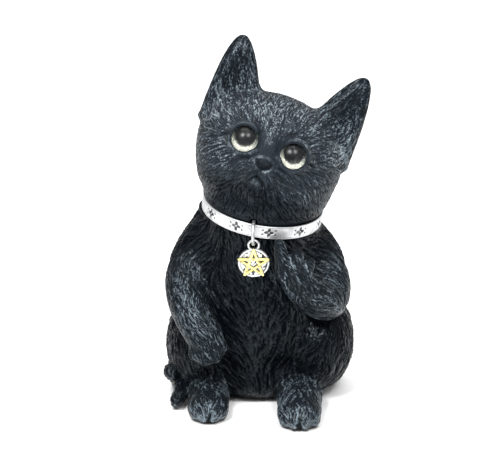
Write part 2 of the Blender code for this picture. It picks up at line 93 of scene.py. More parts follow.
TORSO_MASSES = [
    ((0.3, 2.5, 20.0), (21.0, 20.5, 19.0), 0.0),
    ((0.2, -0.2, 6.4), (20.4, 16.2, 8.6), 3.0),
    ((0.0, 7.5, 30.0), (15.5, 12.5, 20.0), 4.0),
    ((0.0, 0.0, 30.0), (20.0, 16.6, 15.0), 4.0),
    ((0.0, 1.2, 37.0), (18.4, 15.2, 15.5), 4.0),
    ((-15.0, -1.0, 13.0), (9.9, 16.0, 13.4), 2.2),
    ((16.3, -1.5, 14.2), (10.0, 16.0, 13.6), 2.2),
    ((-13.7, 1.0, 35.2), (8.7, 10.5, 11.6), 3.0),
    ((13.6, 1.0, 35.2), (8.7, 10.5, 11.6), 3.0),
]
NECK = [(0.4, 0.6, 40.0, 16.2), (1.1, -0.3, 48.0, 15.9), (1.6, -1.0, 57.0, 15.4)]
HEAD_MASSES = [  # across, up, forward; radii; softness of the join
    ((-0.5, 2.4, -3.2), (20.3, 15.3, 16.8), 0.0),
    ((-7.6, -3.7, -1.5), (11.2, 11.6, 13.0), 3.0),
    ((7.6, -4.0, -1.5), (11.1, 11.9, 13.0), 3.0),
    ((-8.3, 2.6, 7.4), (5.8, 5.4, 6.2), 1.8),
    ((6.3, 2.6, 7.4), (5.8, 5.4, 6.2), 1.8),
    ((-0.9, -5.4, 7.0), (6.6, 5.2, 6.6), 2.4),
    ((-3.3, -4.9, 10.3), (3.3, 2.8, 4.2), 1.2),
    ((1.5, -4.9, 10.3), (3.3, 2.8, 4.2), 1.2),
    ((-1.2, 3.4, 9.6), (2.6, 7.0, 3.6), 1.6),
    ((-0.9, -1.9, 13.0), (1.9, 1.5, 2.5), 0.9),
    ((-0.9, -9.4, 8.6), (3.3, 2.3, 4.2), 1.4),
    ((-5.8, 8.8, 8.0), (3.2, 3.0, 3.6), 1.6),
    ((3.6, 8.8, 8.0), (3.2, 3.0, 3.6), 1.6),
]
HEAD_RUFF = ((1.9, -1.8, 55.5), (16.2, 15.4, 8.0))
LOWERED_FORELEG = [
    (-16.0, 0.5, 37.4, 6.0), (-19.2, -5.0, 34.0, 6.0), (-19.4, -12.0, 30.0, 5.5),
    (-17.0, -17.5, 25.5, 5.1), (-14.0, -20.5, 21.2, 4.9),
]
LOWERED_TOES = [
    (-9.9, -22.4, 19.6, 1.9), (-11.6, -24.0, 17.6, 2.0), (-14.4, -24.2, 16.9, 2.0), (-16.9, -22.8, 17.6, 1.8),
]
RAISED_FORELEG = [
    (16.2, 0.5, 37.2, 6.0), (19.6, -5.5, 32.3, 6.0), (19.0, -12.5, 28.6, 5.7),
    (14.2, -17.2, 32.5, 5.1), (10.4, -19.6, 37.8, 4.5), (8.6, -20.4, 41.2, 3.9),
]
LONG_TOE = [(7.4, -21.4, 40.0, 2.7), (6.4, -21.6, 45.0, 2.1), (5.7, -21.0, 48.4, 1.55)]
FOLDED_TOES = [
    [(9.8, -21.4, 41.6, 2.4), (10.6, -21.2, 45.2, 1.8)],
    [(12.2, -20.2, 39.6, 2.4), (13.8, -19.4, 42.4, 1.8)],
    [(14.2, -18.6, 36.0, 2.3), (16.4, -17.2, 37.2, 1.6)],
]
RIGHT_FOOT = [((-13.2, -17.0, 3.2), (5.7, 12.8, 4.3)), ((-13.3, -25.0, 2.8), (5.4, 6.4, 3.3))]
LEFT_FOOT = [((11.3, -20.0, 3.6), (6.2, 14.2, 4.7)), ((11.2, -29.6, 3.1), (6.0, 7.0, 3.7))]
RIGHT_TOES, LEFT_TOES = (-13.2, -28.6, 4.4), (11.3, -34.0, 4.9)
TAIL = [
    (-4.0, 20.5, 5.0, 3.6), (-13.0, 19.0, 4.4, 3.5), (-19.2, 13.0, 4.2, 3.3), (-21.4, 6.0, 4.2, 3.1),
    (-21.6, -1.0, 4.2, 2.9), (-20.4, -8.0, 3.9, 2.7), (-20.4, -13.0, 3.4, 2.4), (-21.5, -17.0, 2.7, 2.0),
    (-22.0, -18.8, 2.3, 1.7),
]
PADS = {
    "felt_pad_front_left": (11.4, -24.0, 3.4),
    "felt_pad_front_right": (-13.4, -20.6, 3.0),
    "felt_pad_rear_left": (11.0, 8.0, 3.4),
    "felt_pad_rear_right": (-10.5, 8.0, 3.4),
}


# ------------------------------------------------------------------ solid modelling with distance fields
def smin(a, b, k):
    h = np.clip(0.5 + 0.5 * (b - a) / k, 0.0, 1.0)
    return b + (a - b) * h - k * h * (1.0 - h)


def smax(a, b, k):
    return -smin(-a, -b, k)


def smooth(x, low, high):
    t = np.clip((x - low) / (high - low), 0.0, 1.0)
    return t * t * (3.0 - 2.0 * t)


def egg(points, centre, radii):
    q = points - np.asarray(centre)
    r = np.asarray(radii)
    k0 = np.sqrt(((q / r) ** 2).sum(1))
    k1 = np.sqrt(((q / (r * r)) ** 2).sum(1))
    return k0 * (k0 - 1.0) / np.maximum(k1, 1e-9)


def cut_corners(points, rounds=2):
    """A limb's centre line, rounded off between its control points."""
    line = np.array(points, float)
    for _ in range(rounds):
        q = 0.75 * line[:-1] + 0.25 * line[1:]
        r = 0.25 * line[:-1] + 0.75 * line[1:]
        line = np.vstack([line[:1], np.stack([q, r], 1).reshape(-1, line.shape[1])[1:-1], line[-1:]])
    return line


def tube(points, line):
    best = np.full(len(points), 1e9)
    for a, b in zip(line, line[1:]):
        ab = b[:3] - a[:3]
        t = np.clip(((points - a[:3]) @ ab) / max(ab @ ab, 1e-9), 0.0, 1.0)
        off = points - a[:3] - t[:, None] * ab
        best = np.minimum(best, np.sqrt((off * off).sum(1)) - (a[3] + (b[3] - a[3]) * t))
    return best


def to_head(points):
    return (points - HEAD_CENTRE) @ HEAD_AXES


def from_head(points):
    return HEAD_CENTRE + np.asarray(points) @ HEAD_AXES.T


def eye_axes(side):
    """Centre of the dome's apex and the eye's own axes, in the head's axes."""
    s, c = math.sin(side * math.radians(EYE_SPLAY)), math.cos(math.radians(EYE_SPLAY))
    apex = np.array([FACE_MIDLINE + side * EYE_SPACING / 2, EYE_HEIGHT, EYE_FRONT])
    return apex, np.array([[c, 0, s], [0, 1, 0], [-s, 0, c]])


def torso_field(p):
    d = None
    for centre, radii, k in TORSO_MASSES:
        e = egg(p, centre, radii)
        d = e if d is None else smin(d, e, k)
    d = smin(d, tube(p, np.array(NECK)), 3.0)
    return smin(d, tube(p, np.array([(-10.2, 0.0, 49.3, 6.2), (-14.6, 0.0, 41.5, 5.8)])), 2.5)


def groove(loc, line, width):
    """Distance to a thin channel along a line of points on the face."""
    return tube(loc, np.array([(*q, width) for q in line]))


def stroke(loc, line, width):
    """1 on a line drawn on the face (across, up), fading over its width."""
    best = np.full(len(loc), 1e9)
    line = np.array(line, float)
    for a, b in zip(line, line[1:]):
        ab = b - a
        t = np.clip(((loc[:, :2] - a) @ ab) / (ab @ ab), 0.0, 1.0)
        best = np.minimum(best, ((loc[:, :2] - a - t[:, None] * ab) ** 2).sum(1))
    return np.exp(-best / (width * width))


STROKES = [  # line on the face, width, depth
    ([(-11.7, 3.1), (-13.2, 2.4), (-14.5, 1.3)], 0.38, 0.34),
    ([(10.0, 2.3), (12.2, 1.5)], 0.38, 0.3),
    ([(-7.8, 8.9), (-5.4, 7.2), (-4.4, 5.6), (-4.2, 2.1)], 0.6, 0.34),
    ([(5.4, 8.9), (3.0, 7.3), (2.0, 5.6), (1.8, 2.1)], 0.6, 0.46),
    ([(0.05, 11.1), (-0.87, 3.65)], 0.55, -0.16),
    ([(-2.6, 10.5), (-2.3, 5.0)], 0.6, 0.1),
    ([(-2.9, -0.64), (-1.2, -0.75), (0.36, -0.42)], 0.34, -0.14),
    ([(-3.0, -1.5), (-2.6, -2.7), (-1.6, -3.3), (-0.2, -3.3), (0.9, -2.8), (1.3, -1.7)], 0.3, 0.22),
    ([(-2.35, -2.2), (-1.7, -2.55)], 0.3, 0.5),
    ([(0.45, -2.3), (-0.1, -2.65)], 0.3, 0.5),
    ([(-0.9, -3.3), (-1.3, -4.6), (-1.5, -5.85)], 0.32, 0.14),
    ([(-1.5, -5.85), (-2.4, -6.5), (-3.1, -7.4)], 0.28, 0.36),
    ([(-1.5, -5.85), (-0.3, -6.5), (0.6, -7.0), (1.1, -7.8)], 0.36, 0.55),
    ([(-1.9, -7.6), (-1.2, -7.6)], 0.8, -0.3),
    ([(-4.2, -8.6), (-2.6, -9.3), (0.6, -9.4), (2.4, -8.8)], 0.7, 0.2),
    ([(-6.9, -2.6), (-5.2, -2.2)], 0.9, 0.25),
    ([(5.1, -2.7), (3.6, -2.3)], 0.9, 0.25),
]


def head_field(p):
    loc = to_head(p)
    d = None
    for centre, radii, k in HEAD_MASSES:
        e = egg(loc, centre, radii)
        d = e if d is None else smin(d, e, k)
    d = smin(d, egg(p, *HEAD_RUFF), 3.0)
    # nose pad
    d = smin(d, egg(loc, (-0.85, -2.0, 14.3), (1.85, 1.15, 1.3)), 0.5)
    front = smooth(loc[:, 2], 4.0, 8.0)
    use = front > 0
    if use.any():
        near = loc[use]
        carved = np.zeros(len(near))
        for line, width, depth in STROKES:
            carved += depth * stroke(near, line, width)
        d[use] += carved * front[use]
    for side in (1, -1):
        apex, axes = eye_axes(side)
        q = (loc - apex) @ axes
        radial = np.hypot(q[:, 0], q[:, 1])
        upper = np.clip(q[:, 1] / 4.0, -1, 1)
        lid = np.hypot(radial - 4.1 + 0.12 * upper, q[:, 2] + 1.8 - 0.2 * upper) - 0.66 - 0.16 * upper
        d = smin(d, lid, 1.3)
        # hollow beside the bridge
        d = smax(d, -egg(loc, (-1.2 + side * 3.1, 3.2, 14.4), (1.0, 3.4, 1.9)), 1.4)
        ball = np.sqrt((q[:, :2] ** 2).sum(1) + (q[:, 2] + EYE_DOME) ** 2) - EYE_DOME - 0.05
        seat = np.maximum(np.maximum(radial - 3.68, -(q[:, 2] + 4.4)), ball)
        mouth = np.maximum(radial - 3.42 + 0.1 * upper, -(q[:, 2] + 3.0))
        d = smax(d, -np.minimum(seat, mouth), 0.12)
    return d


def leaf(loc, base, tip, width, depth, bow, foot=False):
    """A flattened cone with a rounded point, bowed backwards along its length."""
    base, tip = np.array(base), np.array(tip)
    axis = tip - base
    length = np.linalg.norm(axis)
    axis = axis / length
    thick = np.array([0.0, 0.0, 1.0]) - axis * axis[2]
    thick /= np.linalg.norm(thick)
    wide = np.cross(axis, thick)
    q = loc - base
    along = (q @ axis) / length
    x, y = q @ wide, q @ thick + bow * 4 * along * (1 - along)
    m = np.where(along < 1.0, np.sqrt(np.maximum(1.0 - along, 1e-4)), -0.5 * (along - 1.0))
    m = np.where(along < 0.0, 1.0 - (along / 0.2) ** 2, m)
    if foot:
        m = m * (0.35 + 0.65 * smooth(along, -0.05, 0.42)) - 0.4 * smooth(-along, 0.0, 0.15)
    k0 = np.sqrt((x / width) ** 2 + (y / depth) ** 2)
    g = np.sqrt((x / width**2) ** 2 + (y / depth**2) ** 2) / np.maximum(k0, 1e-6)
    g = np.maximum(g, 1.0 / width)
    return (k0 - m) / np.sqrt(g**2 + (0.5 / (np.maximum(np.abs(m), 0.12) * length)) ** 2)


def ear_field(side):
    def field(p):
        loc = to_head(p)
        out = leaf(loc, (side * 13.0 - 0.55, 6.6, -3.0), (side * 17.7, 29.2, -3.0), 8.6, 4.8, 0.6)
        cup = leaf(loc, (side * 13.6, 7.2, 2.8), (side * 17.7, 27.0, 0.6), 6.9, 4.9, 0.6, True)
        d = smax(out, -cup, 0.7)
        # the small fold low on the outer rim
        return smin(d, groove(loc, [(side * 18.8, 11.0, -2.2), (side * 19.3, 14.5, -2.2), (side * 18.8, 17.5, -2.4)], 0.6), 0.9)
    return field


def raised_field(p):
    d = tube(p, cut_corners(RAISED_FORELEG))
    d = smin(d, tube(p, cut_corners(LONG_TOE)), 0.5)
    for toe in FOLDED_TOES:
        d = smin(d, tube(p, np.array(toe)), 0.45)
    return d


def lowered_field(p):
    d = tube(p, cut_corners(LOWERED_FORELEG))
    for x, y, z, r in LOWERED_TOES:
        d = smin(d, np.linalg.norm(p - np.array([x, y, z]), axis=1) - r, 1.5)
    return d


def foot_field(masses, toes):
    x0, y0, reach = toes

    def field(p):
        d = smin(egg(p, *masses[0]), egg(p, *masses[1]), 2.0)
        for i in range(4):
            step = (i - 1.5) / 1.5
            d = smin(d, egg(p, (x0 + step * reach * 0.8, y0 + 2.6 * step * step, 2.5), (1.8, 3.0, 2.4)), 0.7)
        return d
    return field


def tail_field(p):
    return smin(tube(p, cut_corners(TAIL)), egg(p, (-22.7, -8.6, 7.1), (3.0, 3.4, 2.4)), 0.9)


GROUPS = {  # field, low corner, high corner of the box in which it is worked out
    "torso": (torso_field, (-27, -20, -5), (28, 26, 60)),
    "head": (head_field, (-20, -24, 46), (26, 20, 90)),
    "left_ear": (ear_field(1), (2, -18, 56), (36, 18, 96)),
    "right_ear": (ear_field(-1), (-22, -14, 62), (12, 20, 105)),
    "raised": (raised_field, (2, -28, 20), (29, 10, 52)),
    "lowered": (lowered_field, (-29, -29, 12), (-4, 10, 48)),
    "left_foot": (foot_field(LEFT_FOOT, LEFT_TOES), (2, -40, -4), (21, -2, 11)),
    "right_foot": (foot_field(RIGHT_FOOT, RIGHT_TOES), (-22, -35, -4), (-5, -1, 11)),
    "tail": (tail_field, (-29, -24, -2), (3, 27, 12)),
}
NAMES = list(GROUPS)
MARGIN = 3.0


def groups_at(p):
    """Distance to every group, worked out only near it."""
    made = {}
    for name, (field, low, high) in GROUPS.items():
        low, high = np.array(low) - MARGIN, np.array(high) + MARGIN
        off = np.maximum(np.maximum(low - p, p - high), 0.0)
        d = np.sqrt((off * off).sum(1)) + 6.0
        inside = d < 6.0 + 1e-9
        if inside.any():
            d[inside] = field(p[inside])
        made[name] = d
    return made


def joined(d, p):
    """One skin over all the castings; soft where a limb leaves the body, tight further out."""
    f = smin(d["torso"], d["head"], 1.2)
    for name in ("left_ear", "right_ear"):
        f = smin(f, d[name], 2.2)
    for name, spot, reach, k in (
        ("raised", (17.5, -1.5, 36.0), 8.5, 3.2),
        ("lowered", (-17.5, -2.0, 36.5), 9.5, 3.2),
        ("left_foot", (13.0, -12.0, 4.0), 6.0, 2.0),
        ("right_foot", (-14.0, -11.0, 4.0), 6.0, 2.0),
        ("tail", (-8.0, 19.5, 5.0), 6.0, 2.0),
    ):
        near = np.exp(-(((p - np.array(spot)) / reach) ** 2).sum(1))
        f = smin(f, d[name], 0.35 + k * near)
    return f


def collar_coordinates(p):
    q = (p - COLLAR_CENTRE) @ COLLAR_AXES
    return np.hypot(q[:, 0], q[:, 1]), q[:, 2], np.arctan2(q[:, 0], -q[:, 1])


def cuts(f, p):
    """The flat underside, the band's seat, the vent, the pads' recesses and room for the ring."""
    f = smax(f, 0.3 - p[:, 2], 0.5)
    radial, along, _ = collar_coordinates(p)
    seat = np.maximum(COLLAR_RADIUS - COLLAR_THICK / 2 - 0.22 - radial, np.abs(along) - COLLAR_HEIGHT / 2 - 0.18)
    seat = np.where((p[:, 2] > 40) & (p[:, 1] > -18.6), seat, 5.0)
    f = smax(f, -seat, 0.25)
    for y, z in ((-16.998, 50.224), (-17.7, 50.3), (-18.3, 50.62)):
        q = p - np.array([-1.034, y, z])
        pocket = np.maximum(np.hypot(q[:, 1], q[:, 2]) - 3.68, np.abs(q[:, 0]) - 0.85)
        f = smax(f, -pocket, 0.2)
    vent = np.maximum(np.hypot(p[:, 0], p[:, 1] - 3.0) - 5.0, p[:, 2] - 14.0)
    f = smax(f, -vent, 0.4)
    for x, y, r in PADS.values():
        hole = np.maximum(np.hypot(p[:, 0] - x, p[:, 1] - y) - r - 0.25, p[:, 2] - 1.2)
        f = smax(f, -hole, 0.2)
    return f


def seam(name, d, p):
    """Signed distance past the border of a group's own ground, positive outside it."""
    _, along, _ = collar_coordinates(p)
    if name == "torso":
        others = np.minimum.reduce([d[n] for n in NAMES if n not in ("torso", "head", "left_ear", "right_ear")])
        return np.maximum((d["torso"] - others) / 2, along)
    if name == "head":
        others = np.minimum(d["left_ear"], d["right_ear"])
        return np.maximum((d["head"] - others) / 2, -along)
    others = np.minimum.reduce([d[n] for n in NAMES if n != name])
    return (d[name] - others) / 2


def skin(name):
    def field(p, extra=False):
        d = groups_at(p)
        f = joined(d, p)
        own = cuts(f, p)
        t = seam(name, d, p)
        piece = np.maximum(own + 0.3 * np.maximum(t, 0.0), t - 0.45)
        return (piece, f, t) if extra else piece
    return field


def net(field, low, high, h):
    """Surface nets over a box, worked out finely only near the surface: vertices, quads."""
    low = np.array(low, float)
    n = np.ceil((np.array(high) - low) / (4 * h)).astype(int)
    axes = [low[i] + 4 * h * np.arange(n[i] + 1) for i in range(3)]
    grid = np.stack(np.meshgrid(*axes, indexing="ij"), -1).reshape(-1, 3)
    coarse = field(grid).reshape(n + 1)
    cells = np.stack([coarse[x:n[0] + x, y:n[1] + y, z:n[2] + z] for x in (0, 1) for y in (0, 1) for z in (0, 1)])
    near = np.abs(cells).min(0) < 5.2 * h
    fine = np.repeat(np.repeat(np.repeat(np.where(coarse < 0, -1.0, 1.0).astype(np.float32), 4, 0), 4, 1), 4, 2)
    fine = fine[: 4 * n[0] + 1, : 4 * n[1] + 1, : 4 * n[2] + 1]
    need = np.zeros(fine.shape, bool)
    where = np.argwhere(near)
    for x in range(5):
        for y in range(5):
            for z in range(5):
                need[4 * where[:, 0] + x, 4 * where[:, 1] + y, 4 * where[:, 2] + z] = True
    at = np.argwhere(need)
    values = np.empty(len(at), np.float32)
    for i in range(0, len(at), 400000):
        values[i:i + 400000] = field(low + h * at[i:i + 400000])
    fine[need] = values
    inside = fine < 0
    count = sum(
        inside[x:fine.shape[0] - 1 + x, y:fine.shape[1] - 1 + y, z:fine.shape[2] - 1 + z].astype(np.int8)
        for x in (0, 1) for y in (0, 1) for z in (0, 1)
    )
    active = (count > 0) & (count < 8)
    number = np.full(active.shape, -1, np.int64)
    cell = np.argwhere(active)
    number[active] = np.arange(len(cell))
    corner = [np.array((x, y, z)) for x in (0, 1) for y in (0, 1) for z in (0, 1)]
    total, hits = np.zeros((len(cell), 3)), np.zeros(len(cell))
    for i, a in enumerate(corner):
        for b in corner[i + 1:]:
            if np.abs(a - b).sum() != 1:
                continue
            va = fine[tuple((cell + a).T)].astype(float)
            vb = fine[tuple((cell + b).T)].astype(float)
            cross = (va < 0) != (vb < 0)
            t = np.where(cross, va / np.where(cross, va - vb, 1.0), 0.0)
            total += np.where(cross[:, None], a + t[:, None] * (b - a), 0.0)
            hits += cross
    points = low + h * (cell + total / hits[:, None])
    quads = []
    for axis in range(3):
        u, v = (axis + 1) % 3, (axis + 2) % 3
        first = [slice(None)] * 3
        second = [slice(None)] * 3
        first[axis], second[axis] = slice(0, -1), slice(1, None)
        a, b = inside[tuple(first)], inside[tuple(second)]
        edge = np.argwhere(a != b)
        ok = (edge[:, u] > 0) & (edge[:, v] > 0) & (edge[:, u] < active.shape[u]) & (edge[:, v] < active.shape[v])
        edge = edge[ok]
        outward = a[tuple(edge.T)]
        ring = []
        for du, dv in ((-1, -1), (0, -1), (0, 0), (-1, 0)):
            c = edge.copy()
            c[:, u] += du
            c[:, v] += dv
            ring.append(number[tuple(c.T)])
        q = np.stack(ring, 1)
        q[~outward] = q[~outward][:, ::-1]
        quads.append(q)
    return points, np.vstack(quads)


def slope(field, p, e=0.04):
    g = np.empty_like(p)
    for i in range(3):
        step = np.zeros(3)
        step[i] = e
        g[:, i] = field(p + step) - field(p - step)
    return g / (2 * e)


def settle(field, p, rounds=2, most=0.25):
    """Moves the vertices onto the field's zero surface."""
    for _ in range(rounds):
        g = slope(field, p)
        length = np.maximum((g * g).sum(1), 0.05)
        move = -(field(p) / length)[:, None] * g
        size = np.linalg.norm(move, axis=1)
        move *= np.minimum(1.0, most / np.maximum(size, 1e-9))[:, None]
        p = p + move
    return p


# ------------------------------------------------------------------ carved fur
RNG = np.random.default_rng(11)


def ripple(p, scale, seed):
    """Smooth noise in -1..1 from a few crossed waves."""
    r = np.random.default_rng(seed)
    total = np.zeros(len(p))
    for _ in range(6):
        k = r.normal(size=3)
        k *= (0.7 + 0.6 * r.random()) * 2 * math.pi / scale / np.linalg.norm(k)
        total += np.sin(p @ k + r.random() * 6.283)
    return total / 3.2


FLOW = [  # place, direction, reach
    ((0, -19, 36), (0, -0.2, -1), 6),
    ((-7, -18, 39), (0.75, 0, -0.55), 6), ((6, -18, 36), (0.1, 0, -1), 6),
    ((-13, -14, 40), (-0.1, 0, -1), 4), ((-16, -13, 43), (-1, 0.2, -0.15), 5), ((-20, -8, 40), (-0.9, 0.5, -0.5), 6),
    ((-10, -15, 45), (0.4, 0, -1), 5), ((16, -13, 44), (1, 0.2, -0.05), 6), ((20, -6, 40), (0.9, 0.5, -0.4), 6),
    ((10, -16, 46), (0.8, 0, -0.5), 5), ((0, -18, 46), (0, 0, -1), 5),
    ((-6, -19, 28), (0.5, 0, -0.85), 5), ((6, -19, 28), (-0.5, 0, -0.85), 5), ((0.4, -19.5, 26), (0, 0, -1), 2.4),
    ((-9, -18, 20), (0.7, 0, -0.75), 5), ((9, -18, 20), (-0.65, 0, -0.8), 5), ((0.4, -19.5, 18), (0, 0, -1), 2.4),
    ((-6, -18, 11), (0.6, 0, -0.8), 4.5), ((7, -18, 11), (-0.5, 0, -0.85), 4.5), ((0.4, -18, 9), (0, 0, -1), 2.6),
    ((-16, -16, 24), (0.5, -0.1, -0.85), 6), ((16, -14, 20), (-0.25, 0, -1), 6),
    ((-22, -6, 14), (0.1, -0.3, -1), 8), ((23, -6, 14), (-0.1, -0.3, -1), 8), ((20, -12, 8), (-0.3, -0.2, -1), 6),
    ((-24, 4, 24), (0, 0.25, -1), 8), ((24, 4, 24), (0, 0.25, -1), 8),
    ((-14, 18, 20), (-0.2, 0.2, -1), 9), ((14, 18, 20), (0.2, 0.2, -1), 9), ((0, 22, 22), (0, 0.2, -1), 7),
    ((0, 16, 42), (0, 0.4, -1), 9), ((-14, 12, 42), (-0.4, 0.2, -1), 8), ((14, 12, 42), (0.4, 0.2, -1), 8),
    ((0, 18, 6), (0, 0.1, -1), 8),
]
LIMB_LINES = {
    "raised": np.array(RAISED_FORELEG)[:, :3], "lowered": np.array(LOWERED_FORELEG)[:, :3],
    "tail": np.array(TAIL)[:, :3],
}


def blob(p, place, reach):
    return np.exp(-(((p - np.array(place)) / reach) ** 2).sum(1))


def body_flow(p):
    total = np.zeros_like(p)
    for place, way, reach in FLOW:
        way = np.array(way, float)
        w = np.exp(-((p - np.array(place)) ** 2).sum(1) / (2 * reach * reach))
        total += w[:, None] * way / np.linalg.norm(way)
    return total + np.array([0, 0, -1e-4])


def line_flow(p, line):
    total = np.zeros_like(p)
    for a, b in zip(line, line[1:]):
        way = (b - a) / np.linalg.norm(b - a)
        t = np.clip(((p - a) @ (b - a)) / ((b - a) @ (b - a)), 0, 1)
        off = p - a - t[:, None] * (b - a)
        total += np.exp(-(off * off).sum(1) / (2 * 4.5**2))[:, None] * way
    return total + 1e-6


def head_flow(p):
    loc = to_head(p)
    v = loc - np.array([-1.1, -1.0, 15.5])
    v /= np.linalg.norm(v, axis=1, keepdims=True)
    back = smooth(-loc[:, 2], 2.0, 12.0)[:, None]
    v = v * (1 - back) + back * np.array([0.0, -1.0, -0.15])
    for side in (1, -1):
        apex, _ = eye_axes(side)
        q = loc - apex
        far = np.linalg.norm(q[:, :2], axis=1)
        w = np.exp(-((far / 5.5) ** 2))[:, None] * 1.3
        q = q * np.array([1.0, 1.0, 0.0])
        v = v + w * q / np.maximum(far, 0.5)[:, None]
        # strands turn down the side of the cheek
        side_on = smooth(side * loc[:, 0], 9.0, 17.0) * smooth(-loc[:, 1], -6.0, 6.0)
        v = v + side_on[:, None] * np.array([side * 0.2, -0.7, -0.4])
    brow = np.exp(-(((loc[:, 0] + 1.1) / 3.2) ** 2)) * smooth(loc[:, 1], 0.0, 4.0) * smooth(loc[:, 2], 2.0, 8.0)
    v = v + brow[:, None] * np.array([0.0, 1.4, 0.0])
    return v @ HEAD_AXES.T


def ear_flow(side):
    def flow(p):
        way = np.array([side * 4.8, 22.8, 0.0]) / 23.3
        loc = to_head(p)
        v = np.tile(way, (len(p), 1)) + np.array([1.0, 0, 0]) * ((side * 15.6 - loc[:, 0:1]) * 0.06)
        return v @ HEAD_AXES.T
    return flow


def foot_flow(p):
    v = np.zeros_like(p)
    v[:, 1] = -1.0
    v[:, 2] = -0.55
    return v


def raised_flow(p):
    line = LIMB_LINES["raised"]
    v = line_flow(p, line[:3]) + line_flow(p, line[:1:-1])
    v /= np.maximum(np.linalg.norm(v, axis=1, keepdims=True), 1e-9)
    elbow = blob(p, (17.5, -17.0, 29.5), 5.2)[:, None]
    outer = blob(p, (19.0, -9.0, 38.0), 5.0)[:, None]
    return v * (1 - 0.85 * elbow) + elbow * np.array([0.9, 0.1, -0.25]) + outer * np.array([1.0, 0.4, -0.2])


def lowered_flow(p):
    v = line_flow(p, LIMB_LINES["lowered"])
    return v / np.linalg.norm(v, axis=1, keepdims=True) + np.array([0.12, 0, -0.25])


FLOWS = {
    "torso": body_flow, "head": head_flow, "left_ear": ear_flow(1), "right_ear": ear_flow(-1),
    "raised": raised_flow, "lowered": lowered_flow, "left_foot": foot_flow, "right_foot": foot_flow,
    "tail": lambda p: line_flow(p, LIMB_LINES["tail"]),
}


def shares(d, reach=1.1):
    """How much of each casting a place has, for mixing where two meet."""
    near = np.minimum.reduce(list(d.values()))
    w = {name: np.exp(-np.maximum(d[name] - near, 0.0) / reach) for name in NAMES}
    total = sum(w.values())
    return {name: w[name] / total for name in NAMES}


def all_flow(p, d):
    """The hair's direction, mixed where two castings meet."""
    total = np.zeros_like(p)
    near = np.minimum.reduce(list(d.values()))
    for name in NAMES:
        w = np.exp(-np.maximum(d[name] - near, 0.0) / 1.1)
        use = w > 0.02
        if use.any():
            v = FLOWS[name](p[use])
            v /= np.maximum(np.linalg.norm(v, axis=1, keepdims=True), 1e-9)
            total[use] += v * w[use, None]
    return total


def whole(p):
    return joined(groups_at(p), p)


def flat(v, n):
    v = v - (v * n).sum(1)[:, None] * n
    return v / np.maximum(np.linalg.norm(v, axis=1, keepdims=True), 1e-9)


def unit(v):
    return v / np.maximum(np.linalg.norm(v, axis=1, keepdims=True), 1e-9)


def comb(seeds, length, step, curl, seed, stray=0.16):
    """Traces one strand from each seed: places, directions and normals at each step."""
    p = seeds.copy()
    r = np.random.default_rng(seed)
    lean = r.normal(size=len(p)) * stray
    steps = int(math.ceil(length.max() / step)) + 1
    places, ways, normals = [], [], []
    for i in range(steps):
        d = groups_at(p)
        n = unit(slope(whole, p, 0.08))
        t = flat(all_flow(p, d), n)
        side = np.cross(n, t)
        wander = lean + curl * ripple(p, 9.0, 5) + 0.6 * curl * ripple(p, 4.0, 6)
        t = flat(t * np.cos(wander)[:, None] + side * np.sin(wander)[:, None], n)
        places.append(p)
        ways.append(t)
        normals.append(n)
        p = p + t * step
        p = p - np.clip(whole(p), -0.3, 0.3)[:, None] * n
    return np.stack(places), np.stack(ways), np.stack(normals)


def scatter(points, spacing, seed):
    """One of the points from each cell of a grid."""
    r = np.random.default_rng(seed)
    order = r.permutation(len(points))
    key = np.floor(points[order] / spacing + r.random(3)).astype(np.int64)
    key = (key[:, 0] * 4096 + key[:, 1]) * 4096 + key[:, 2]
    _, first = np.unique(key, return_index=True)
    return order[first]


